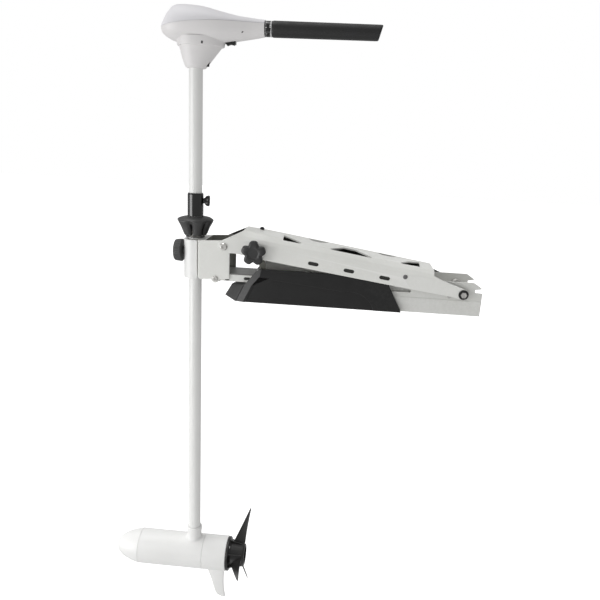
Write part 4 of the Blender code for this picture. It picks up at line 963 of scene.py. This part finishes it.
def depth_collar():
    low, high = 0.1725, 0.222
    profile = rounded([(low, SHAFT_HOLE), (low, 0.017), (low + 0.004, 0.0172), (high - 0.003, 0.0172),
                       (high, 0.0164), (high, SHAFT_HOLE)], 0.0007, 4)
    item = temporary(turned(profile, "Z", SHAFT, SMOOTH))
    at = (SHAFT_X, 0.0, SCREW_Z)
    cut(item, rod(0.0033, 0.0, 0.03, "X", at))
    piece(item, "depth_collar", "black_gloss", "collar")
    stations = smooth_stations([
        (0.015, 0.003, 0.0), (0.0175, 0.003, 0.0), (0.0178, 0.0056, 0.0), (0.0195, 0.006, 0.0),
        (0.0208, 0.0068, 0.3), (0.0225, 0.0095, 0.8), (0.0255, 0.011, 1.0), (0.029, 0.0118, 1.0),
        (0.0308, 0.011, 1.0), (0.0314, 0.0085, 0.9)], 4)
    screw = lobed(stations, 2, 0.0068, "X", at, radians(80), 120, 0.7)
    piece(screw, "collar_screw", "black_satin", "collar_screw")


# ---- shaft and lower unit ----

HOUSING_RADIUS = 0.042
HOUSING_INNER = 0.038
HOUSING_FRONT = -0.135
HOUSING_REAR = 0.026
CAP_REAR = 0.085
SKEG_TOP = 0.037
SKEG_LOW = 0.1297


def shaft_parts():
    tube = ring_piece(MOTOR_Z + 0.0405, 0.5, 0.0115, 0.0143, "Z", SHAFT, 0.0008)
    piece(tube, "shaft_tube", "tube_white", "shaft")


def motor_housing():
    profile = rectangle(HOUSING_FRONT, HOUSING_INNER, HOUSING_REAR, HOUSING_RADIUS, upward=True)
    item = temporary(turned(rounded(profile, [0.0002, 0.0007, 0.0007, 0.0002], 4), "X", MOTOR, FINE))
    rings = []
    fillet = 0.005
    wall = 0.0172

    def saddle(radius, angle):
        """Height of the housing's skin under a point MOTOR this radius from the shaft axis."""
        return sqrt(HOUSING_RADIUS ** 2 - (radius * sin(angle)) ** 2)

    def ring(radius, height):
        return [MOTOR + Vector((radius * cos(a), radius * sin(a), height(a))) for a in around(SMOOTH)]

    rings.append(ring(wall - 0.0005, lambda a: 0.0385))
    rings.append(ring(wall + fillet, lambda a: saddle(wall + fillet, a) - 0.0012))
    for step in range(9):
        turn = pi / 2 * step / 8
        radius = wall + fillet * (1.0 - sin(turn))
        rise = fillet * (1.0 - cos(turn))
        rings.append(ring(radius, lambda a, r=radius, up=rise: saddle(r, a) - 0.0002 + up))
    lip = rounded([(0.0, wall), (0.061, wall), (0.0625, 0.0182), (0.0713, 0.0182), (0.0725, 0.0168)],
                  [0, 0.0008, 0.0008, 0.0008, 0], 4, closed=False)[1:]
    for height, radius in lip:
        rings.append(ring(radius, lambda a, h=height: h))
    join(item, loft(rings))
    cut(item, rod(HOUSING_INNER, -0.1, 0.0, "X", MOTOR, FINE))
    cut(item, rod(SHAFT_HOLE, 0.03, 0.09, "Z", MOTOR, SMOOTH))
    piece(item, "motor_housing", "cast_white", "shaft")


def nose_cone():
    base = HOUSING_FRONT - GAP
    length = base + 0.1975

    def dome(radius, reach, count):
        """Points from the tip to the open end along a blunt dome."""
        points = []
        for index in range(count):
            share = (index / (count - 1)) ** 2.0
            flare = (1.0 - (1.0 - share) ** 1.3) ** 0.42
            points.append((base - reach * (1.0 - share), radius * flare))
        return points

    outer = dome(HOUSING_RADIUS, length, 40)
    outer[-1] = (base - 0.0006, HOUSING_RADIUS)
    outer.append((base, HOUSING_RADIUS - 0.0007))
    rim = [(base, 0.0113), (base - 0.0057, 0.0113), (base - 0.0057, 0.034)]
    inner = dome(0.0345, length - 0.008, 20)[:-2]
    item = turned(outer + rim + list(reversed(inner)), "X", MOTOR, FINE, closed=False)
    piece(item, "nose_cone", "cast_white", "shaft")


def end_cap():
    start = HOUSING_REAR + GAP
    profile = [(start, 0.0), (start, HOUSING_RADIUS), (CAP_REAR, HOUSING_RADIUS), (CAP_REAR, HOUSING_INNER),
               (0.073, HOUSING_INNER), (0.073, 0.0)]
    outer = rounded(profile, [0, 0.0007, 0.002, 0.0008, 0.0015, 0], 4, closed=False)
    item = temporary(turned(outer, "X", MOTOR, FINE, closed=False))
    front = smooth_stations([(-0.036, 0.029), (-0.044, 0.0312), (-0.06, 0.0366), (-0.08, 0.0437),
                             (-0.1, 0.0492), (-0.1165, 0.0545), (-0.125, 0.06), (-0.1292, 0.068),
                             (-0.1297, 0.072)], 5)
    rear = smooth_stations([(-0.036, 0.0776), (-0.06, 0.0768), (-0.085, 0.0762), (-0.1, 0.077),
                            (-0.11, 0.078), (-0.12, 0.0796), (-0.127, 0.0808), (-0.1297, 0.08)], 5)

    def edge(line, height):
        for (z0, x0), (z1, x1) in zip(line, line[1:]):
            if z1 <= height <= z0:
                return x0 + (x1 - x0) * (height - z0) / (z1 - z0)
        return line[-1][1]

    rings = []
    for step in range(49):
        share = step / 48
        height = -SKEG_TOP - (SKEG_LOW - SKEG_TOP) * (1.0 - (1.0 - share) ** 1.6)
        ahead, behind = edge(front, height), edge(rear, height)
        middle, half = (ahead + behind) / 2, (behind - ahead) / 2
        root = max(0.0, (height + 0.048) / 0.009)
        thick = 0.0032 - 0.0012 * share + 0.0045 * root ** 2
        if share > 0.93:
            thick *= sqrt(max(1.0 - ((share - 0.93) / 0.075) ** 2, 0.05))
        ring = []
        for angle in around(40):
            c, s = cos(angle), sin(angle)
            ring.append(MOTOR + Vector((middle + half * c, thick * copysign(abs(s) ** 0.8, s), height)))
        rings.append(ring)
    join(item, loft(rings))
    cut(item, rod(HOUSING_INNER, 0.0, 0.064, "X", MOTOR, FINE))
    cut(item, rod(0.011, 0.0, 0.1, "X", MOTOR, SMOOTH))
    for side in (-1, 1):
        cut(item, rod(0.0023, 0.0, 0.1, "X", (SHAFT_X, side * 0.0345, MOTOR_Z), SMALL))
    piece(item, "end_cap", "cast_white", "shaft")


PROP_RADIUS = 0.112
PROP_PHASE = radians(57.8)
PROP_PITCH = 0.24
PROP_SWEEP = 0.01
BLADE_ROOT = 0.02
HUB_FRONT = 0.0858
HUB_WEB = 0.114
HUB_REAR = 0.129


def blade(angle):
    """A swept blade with a faired section, a round leading edge and a soft tip."""
    rings = []
    count = 36
    for index in range(count + 1):
        share = index / count
        radius = BLADE_ROOT + (PROP_RADIUS - GAP - BLADE_ROOT) * share
        chord = 0.035 - 0.006 * share - 0.023 * share ** 2
        tip = 1.0
        if share > 0.94:
            tip = sqrt(max(1.0 - ((share - 0.94) / 0.0605) ** 2, 0.02))
        chord *= 0.55 + 0.45 * tip if share > 0.94 else 1.0
        pitch = atan2(PROP_PITCH, tau * radius)
        thick = (0.005 * (1.0 - share) ** 1.1 + 0.0013) * tip
        thick += 0.003 * max(0.0, 1.0 - share / 0.16) ** 2
        rake = 0.11 + 0.021 * share
        sweep = PROP_SWEEP * share ** 2
        section = []
        for turn in around(28):
            along = 0.5 * cos(turn)
            fairing = sin(turn) * (1.0 - 0.35 * cos(turn)) * 0.5
            camber = 0.045 * chord * (1.0 - (2.0 * along) ** 2) * min(share * 3.0, 1.0)
            offset = fairing * thick + camber * 0.35
            tangent = along * chord * cos(pitch) - offset * sin(pitch) + sweep
            axial = along * chord * sin(pitch) + offset * cos(pitch)
            section.append(Vector((SHAFT_X + rake + axial, tangent, radius)))
        rings.append(section)
    shape = loft(rings)
    bmesh.ops.transform(shape, matrix=Matrix.Rotation(angle - pi / 2, 4, "X"), verts=shape.verts)
    bmesh.ops.translate(shape, verts=shape.verts, vec=(0.0, 0.0, MOTOR_Z))
    return shape


def propeller():
    profile = [(HUB_FRONT, 0.0), (HUB_FRONT, 0.0405), (HUB_FRONT + 0.0036, 0.0412),
               (HUB_FRONT + 0.0056, 0.04), (HUB_FRONT + 0.0064, 0.0362), (HUB_FRONT + 0.01, 0.0312),
               (HUB_REAR - 0.004, 0.0278), (HUB_REAR, 0.025), (HUB_REAR, 0.02), (HUB_REAR - 0.002, 0.0202),
               (HUB_WEB, 0.0202), (HUB_WEB, 0.0)]
    radii = [0, 0.0008, 0.0012, 0.001, 0.0015, 0.0025, 0.002, 0.001, 0.0006, 0, 0.001, 0]
    item = temporary(turned(rounded(profile, radii, 4, closed=False), "X", MOTOR, SMOOTH, closed=False))
    for index in range(3):
        join(item, blade(PROP_PHASE + tau * index / 3))
    outline = rounded([(HUB_FRONT + 0.004, 0.026), (HUB_FRONT + 0.005, 0.0385), (HUB_FRONT + 0.009, 0.0372),
                       (HUB_REAR - 0.006, 0.029), (HUB_REAR - 0.004, 0.025)], 0.002, 4)
    for index in range(6):
        angle = PROP_PHASE + tau * (index + 0.5) / 6
        rib = slab([(x + MOTOR.x, r) for x, r in outline], 0.0011)
        turn = Matrix.Translation((0.0, 0.0, MOTOR_Z)) @ Matrix.Rotation(angle - pi / 2, 4, "X")
        join(item, moved(rib, turn))
    cut(item, rod(0.02, HUB_WEB, 0.15, "X", MOTOR, SMOOTH))
    cut(item, rod(PIVOT_HOLE, 0.05, 0.15, "X", MOTOR))
    cut(item, box((SHAFT_X + 0.08, -0.0024, MOTOR_Z - 0.0125), (SHAFT_X + 0.0929, 0.0024, MOTOR_Z + 0.0125)))
    piece(item, "propeller", "blade_black", "propeller")
    nut = temporary(rod(0.0095, HUB_WEB + GAP, HUB_WEB + 0.007, "X", MOTOR, 6))
    cut(nut, rod(PIVOT_HOLE, 0.1, 0.14, "X", MOTOR))
    piece(nut, "prop_nut", "zinc_steel", "propeller", bevel=0.0006)
    profile = [(HUB_FRONT + 0.003, 0.0), (HUB_FRONT + 0.003, 0.0034), (HUB_FRONT + 0.0078, 0.003),
               (HUB_FRONT + 0.0082, 0.0)]
    for index in range(3):
        angle = PROP_PHASE + radians(62) + tau * index / 3
        spot = Vector((0.0, 0.0342 * cos(angle), 0.0342 * sin(angle)))
        rivet = turned_piece(profile, "X", MOTOR + spot, 0.0008, SMALL)
        piece(rivet, "propeller", "dull_anode", "propeller", extra=f"rivet_{index}")


# ---- head ----

HEAD_STATIONS = (
    (-0.069, 0.5445, 0.5512, 0.008),
    (-0.068, 0.5415, 0.5548, 0.0145),
    (-0.0645, 0.5365, 0.565, 0.023),
    (-0.0545, 0.53, 0.5825, 0.034),
    (-0.042, 0.525, 0.5938, 0.041),
    (-0.02, 0.5228, 0.5956, 0.0455),
    (0.015, 0.522, 0.5928, 0.046),
    (0.05, 0.5235, 0.5848, 0.0415),
    (0.085, 0.529, 0.5775, 0.032),
    (0.115, 0.534, 0.574, 0.022),
    (0.141, 0.539, 0.5715, 0.0165),
)
SEAM = ((-0.08, 0.5475), (-0.056, 0.552), (-0.036, 0.555), (0.0, 0.5592), (0.043, 0.5622),
        (0.098, 0.5635), (0.15, 0.5635))
HEAD_REACH = 0.08
RECESS = Vector((-0.2503, 0.0, 0.5405))
SCREW = Vector((-0.3291, 0.0, 0.5205))
SEAM_POINTS = smooth_stations(SEAM, 8)


def even_ring(points, count):
    """Spread points evenly along a closed curve given by many close points."""
    lengths = [0.0]
    for index, point in enumerate(points):
        lengths.append(lengths[-1] + (points[(index + 1) % len(points)] - point).length)
    result = []
    index = 0
    for step in range(count):
        target = lengths[-1] * step / count
        while lengths[index + 1] < target:
            index += 1
        share = (target - lengths[index]) / (lengths[index + 1] - lengths[index])
        result.append(points[index].lerp(points[(index + 1) % len(points)], share))
    return result


def seam_height(x):
    """The height of the crease between the two shells at one place along the head."""
    for (start, low), (end, high) in zip(SEAM_POINTS, SEAM_POINTS[1:]):
        if x <= end:
            return low + (high - low) * (x - start) / (end - start)
    return SEAM_POINTS[-1][1]


def head_loft(inset, steps=5, count=96):
    rings = []
    for x, low, high, half in smooth_stations(HEAD_STATIONS, steps):
        crease = seam_height(x)
        tall, wide = (high - low) / 2 - inset, half - inset
        if tall < 0.002 or wide < 0.002:
            continue
        dense = []
        for angle in around(720):
            side = copysign(1.0, cos(angle))
            share = min(abs(sin(angle)), 1.0)
            if sin(angle) >= 0.0:
                z = crease + (high - inset - crease) * share
                y = wide * max(1.0 - share ** 2.4, 0.0) ** 0.6 * (1.0 - 0.18 * share)
            else:
                z = crease - (crease - low - inset) * share
                y = wide * max(1.0 - share ** 3, 0.0) ** 0.5 * (1.0 - 0.1 * share)
            dense.append(Vector((SHAFT_X + x, side * y, z)))
        rings.append(even_ring(dense, count))
    if inset > 0.002:
        rings = rings[3:-1]
    return loft(rings)


def oval(front, back, width, z):
    """A level ring round the shaft that reaches as far as front ahead of it and back behind it."""
    ring = []
    for angle in around(SMOOTH):
        reach = back if cos(angle) > 0 else front
        ring.append(Vector((SHAFT_X + reach * cos(angle), width * sin(angle), z)))
    return ring


def skirt():
    """The near-vertical band under the head, above the funnel."""
    stations = ((0.5168, -0.0012), (0.5176, -0.0003), (0.519, 0.0), (0.524, 0.0008), (0.534, 0.001))
    return loft([oval(0.0378 + grow, 0.059 + grow, 0.038 + grow, z) for z, grow in stations])


def seam_line(gap):
    return [(SHAFT_X + x, z + gap) for x, z in SEAM_POINTS]


def seam_block(low_side, gap):
    level = 0.4 if low_side else 0.7
    return slab(seam_line(gap) + [(SHAFT_X + SEAM[-1][0], level), (SHAFT_X + SEAM[0][0], level)], HEAD_REACH)


def funnel():
    """The throat that widens from the shaft up into the head, with a small edge at its foot."""
    edge = 0.0006
    rings = []
    for step in range(25):
        share = step / 24
        z = 0.475 + 0.058 * share
        front = 0.0187 + 0.0185 * share ** 0.62
        back = 0.0205 + 0.047 * share
        width = 0.0195 + 0.0175 * share ** 0.8
        if step:
            rings.append(oval(front, back, width, z))
            continue
        foot = oval(front - edge, back - edge, width - edge, z)
        rings.append(foot)
        rings.append([point + Vector((edge * cos(angle), edge * sin(angle), edge))
                      for point, angle in zip(foot, around(SMOOTH))])
    return loft(rings)


def head_shells():
    upper = temporary(head_loft(0.0))
    keep_inside(upper, seam_block(False, GAP))
    lower = temporary(head_loft(0.0))
    join(lower, funnel(), skirt())
    keep_inside(lower, seam_block(True, -GAP))
    tongue = temporary(head_loft(0.0011))
    line = seam_line(0.0045) + list(reversed(seam_line(-0.0035)))
    keep_inside(tongue, slab(line, HEAD_REACH))
    tongue_shape = bmesh.new()
    tongue_shape.from_mesh(tongue.data)
    bpy.data.objects.remove(tongue, do_unlink=True)
    groove = tongue_shape.copy()
    join(upper, tongue_shape)
    cut(lower, groove)
    for item in (upper, lower):
        cut(item, head_loft(0.003), rod(0.007, 0.1, 0.16, "X", GRIP))
    recess = [(RECESS.x + 0.0028 * cos(a), RECESS.z + 0.0054 * sin(a)) for a in around(SMALL)]
    cut(lower, prism(recess, -0.04, -0.0222))
    cut(lower, rod(0.0018, -0.045, -0.0372, "Y", SCREW, SMALL))
    cut(lower, rod(SHAFT_HOLE, 0.45, 0.5005, "Z", SHAFT, SMOOTH))
    cut(lower, rod(0.011, 0.45, 0.55, "Z", SHAFT, SMOOTH))
    cut(lower, box((ROCKER.x - 0.0105, -0.0075, 0.5), (ROCKER.x + 0.0105, 0.0075, 0.54)))
    cut(lower, box((-0.3286, -0.0058, 0.479), (-0.31, 0.0058, 0.488)))
    piece(upper, "head_upper_shell", "shell_upper", "shaft")

    def dark(centre, normal):
        """Painted shade in the oval recess on the port side and in the screw hole below it."""
        at, hole = centre - RECESS, centre - SCREW
        recess = abs(at.x) < 0.003 and abs(at.z) < 0.0057 and -0.03 < centre.y < -0.0215
        sides = normal.y < -0.995 or abs(normal.y) < 0.5
        screw = abs(hole.x) < 0.0019 and abs(hole.z) < 0.0019 and centre.y < -0.03
        return (recess and sides) or screw

    piece(lower, "head_lower_shell", "shell_lower", "shaft", dark=dark)


def head_parts():
    profile = rounded(rectangle(0.1415, 0.0063, 0.156, 0.0152, upward=True), 0.0008, 4)
    piece(turned(profile, "X", GRIP, SMOOTH), "dial_ring", "black_satin", "grip")
    marks = bmesh.new()
    count = 32
    for index, angle in enumerate(around(count)):
        long = index % 4 == 0
        low, high = (0.1432, 0.1462) if long else (0.1432, 0.1448)
        add_mark(marks, GRIP, angle, 0.06 if long else 0.036, low, high)
    for index in range(count):
        angle = tau * (index + 0.5) / count
        grow = 0.0006 + 0.0026 * (index % 8) / 7
        add_mark(marks, GRIP, angle, 0.11, 0.1546 - grow, 0.1546)
    piece(marks, "dial_ring", "mark_white", "grip", extra="marks")
    band = ring_piece(0.1547, 0.1553, 0.0148, 0.01528, "X", GRIP, 0.0001)
    piece(band, "dial_ring", "mark_white", "grip", extra="band")
    shape = []
    slope = 0.2735
    run = [(0.1563, 0.0148), (0.1566, 0.0153), (0.1576, 0.0158), (0.16, 0.016), (0.164, 0.01595)]
    run += [(0.164 + 0.201 * k / 20, 0.01595 - 0.0006 * k / 20) for k in range(1, 21)]
    run += [(0.366, 0.01535), (0.369, 0.01525), (0.3707, 0.01495), (0.3717, 0.0143), (0.3721, 0.0132)]
    for along, radius in run:
        tilt = slope * min(max((along - 0.3) / 0.06, 0.0), 1.0)
        points = [(radius * cos(a), radius * sin(a)) for a in around(SMOOTH)]
        shape.append([GRIP + Vector((along + tilt * z, y, z)) for y, z in points])
    item = temporary(loft(shape))
    cut(item, rod(0.0063, 0.1, 0.335, "X", GRIP))
    piece(item, "throttle_grip", "grip_rubber", "grip")


def add_mark(marks, at, angle, spread, low, high):
    """A raised printed bar on the dial ring, low to high along X and spread radians wide."""
    inner, outer = 0.0149, 0.01528
    steps = 3
    columns = []
    for step in range(steps + 1):
        place = angle + spread * (step / steps - 0.5)
        corners = []
        for along, radius in ((low, inner), (low, outer), (high, outer), (high, inner)):
            corners.append(marks.verts.new(at + Vector((along, radius * cos(place), radius * sin(place)))))
        columns.append(corners)
    for near, far in zip(columns, columns[1:]):
        for index in range(4):
            following = (index + 1) % 4
            marks.faces.new((near[index], near[following], far[following], far[index]))
    marks.faces.new(columns[0])
    marks.faces.new(list(reversed(columns[-1])))


def switch_parts():
    x, z = ROCKER.x, ROCKER.z
    frame_line = rounded(rectangle(x - 0.0102, -0.0072, x + 0.0102, 0.0072), 0.0012, 4)
    bezel = temporary(prism(frame_line, z - 0.0028, z + 0.006, "Z"))
    cut(bezel, box((x - 0.0086, -0.0056, z - 0.006), (x + 0.0086, 0.0056, z + 0.005)))
    piece(bezel, "switch_bezel", "black_satin", "shaft", bevel=0.0004)
    outline = rounded([(x - 0.0076, z + 0.001), (x - 0.0076, z - 0.006), (x, z - 0.0028),
                       (x + 0.0076, z - 0.0045), (x + 0.0076, z + 0.001)],
                      [0.0003, 0.0008, 0.006, 0.0008, 0.0003], 5)
    rocker = temporary(slab(outline, 0.0052))
    piece(rocker, "rocker_switch", "black_moulded", "rocker", bevel=0.0005)
    outline = rounded(rectangle(-0.0055, 0.4793, 0.0055, 0.4877), 0.0018, 4)
    grommet = temporary(prism(outline, -0.3283, -0.323, "X"))
    piece(grommet, "cable_grommet", "soft_rubber", "shaft", bevel=0.0006)


# ---- pieces that stay as packed ----

HIDDEN_FINISHES = {
    "motor_leads": "soft_rubber", "armature": "copper_wire", "commutator": "copper_wire",
    "magnet_upper": "ferrite", "magnet_lower": "ferrite", "brush_plate": "nylon",
    "through_bolt_port": "zinc_steel", "through_bolt_starboard": "zinc_steel",
    "bearing_front": "turned_steel", "bearing_rear": "turned_steel", "shaft_seal": "soft_rubber",
    "speed_switch": "black_satin", "control_board": "board_green", "throttle_shaft": "turned_steel",
    "drive_pin": "zinc_steel",
}


# ---- camera, light and floor ----

CAMERA_PLACE = Vector((-0.01542, -1.33002, 0.35628))
CAMERA_PITCH = radians(15.03)
CAMERA_YAW = radians(-4.19)
CAMERA_ROLL = radians(2.76)
CAMERA_LENS = 37.2
FLOOR_Z = -2.4
WHITE = (1.0, 1.0, 1.0, 1.0)


def camera():
    forward = Vector((sin(CAMERA_YAW) * cos(CAMERA_PITCH), cos(CAMERA_YAW) * cos(CAMERA_PITCH),
                      -sin(CAMERA_PITCH)))
    level = Vector((cos(CAMERA_YAW), -sin(CAMERA_YAW), 0.0))
    upright = level.cross(forward)
    right = level * cos(CAMERA_ROLL) + upright * sin(CAMERA_ROLL)
    top = -level * sin(CAMERA_ROLL) + upright * cos(CAMERA_ROLL)
    data = bpy.data.cameras.new("camera")
    data.lens = CAMERA_LENS
    data.sensor_width = 36.0
    data.clip_start = 0.01
    data.clip_end = 100.0
    item = bpy.data.objects.new("camera", data)
    place = Matrix((right, top, -forward)).transposed().to_4x4()
    place.translation = CAMERA_PLACE
    item.matrix_world = place
    bpy.context.collection.objects.link(item)
    bpy.context.scene.camera = item


def lamp(name, kind, place, aim, energy, **settings):
    data = bpy.data.lights.new(name, kind)
    data.energy = energy
    for key, value in settings.items():
        setattr(data, key, value)
    item = bpy.data.objects.new(name, data)
    item.location = place
    item.rotation_euler = (Vector(aim) - Vector(place)).to_track_quat("-Z", "Y").to_euler()
    bpy.context.collection.objects.link(item)
    return item


def panel(name, place, aim, energy, size, size_y):
    return lamp(name, "AREA", place, aim, energy, shape="RECTANGLE", size=size, size_y=size_y)


def studio():
    world = bpy.data.worlds.new("studio")
    bpy.context.scene.world = world
    world.use_nodes = True
    tree = world.node_tree
    tree.nodes.clear()
    seen = node(tree, "ShaderNodeLightPath").outputs["Is Camera Ray"]
    white = node(tree, "ShaderNodeBackground", {"Color": WHITE, "Strength": 1.0})
    direction = node(tree, "ShaderNodeTexCoord").outputs["Generated"]
    height = node(tree, "ShaderNodeSeparateXYZ", {"Vector": direction}).outputs["Z"]
    glow = spread(tree, height, 0.63, 0.5, -0.5, 0.5)
    soft_light = node(tree, "ShaderNodeBackground", {"Color": WHITE, "Strength": glow})
    mixed = node(tree, "ShaderNodeMixShader", {0: seen, 1: soft_light.outputs[0], 2: white.outputs[0]})
    node(tree, "ShaderNodeOutputWorld", {"Surface": mixed.outputs[0]})
    panel("key", (-2.6, -1.35, -0.3), (-0.3, 0.0, -0.2), 33.0, 2.0, 2.0)
    panel("low", (-0.5, -1.8, -1.9), (-0.35, 0.0, -0.6), 8.0, 1.0, 1.0)
    lamp("top", "SUN", (-0.8, 0.2, 2.4), (0.0, 0.0, 0.0), 1.5, angle=radians(40))
    gleam = panel("sheen", (-2.7, -1.7, -0.1), (-0.3, 0.0, 0.0), 62.0, 1.8, 2.4)
    gleam.visible_diffuse = False
    floor = bmesh.new()
    bmesh.ops.create_grid(floor, x_segments=2, y_segments=2, size=30.0)
    item = temporary(floor, "floor")
    item.location = (0.0, 0.0, FLOOR_Z)
    paint_floor = bpy.data.materials.new("pale_floor")
    paint_floor.use_nodes = True
    shader = paint_floor.node_tree.nodes["Principled BSDF"]
    shader.inputs["Base Color"].default_value = (0.9, 0.9, 0.9, 1.0)
    shader.inputs["Roughness"].default_value = 0.9
    shader.inputs["Emission Color"].default_value = WHITE
    shader.inputs["Emission Strength"].default_value = 0.45
    item.data.materials.append(paint_floor)
    item.visible_diffuse = False
    item.visible_glossy = False
    bpy.context.scene.view_settings.view_transform = "Standard"


def main():
    base_channel()
    nose_cover()
    for name, side in SIDES:
        side_cover(f"side_cover_{name}", side)
    for build in (latch, base_fasteners, arm_channel, arm_fittings, lower_link, column_block, column_fittings,
                  tension_knob, clamp_knob, depth_collar, shaft_parts, motor_housing, nose_cone, end_cap,
                  propeller, head_shells, head_parts, switch_parts):
        build()
    for name, material in HIDDEN_FINISHES.items():
        paint(name, material)
    camera()
    studio()


main()
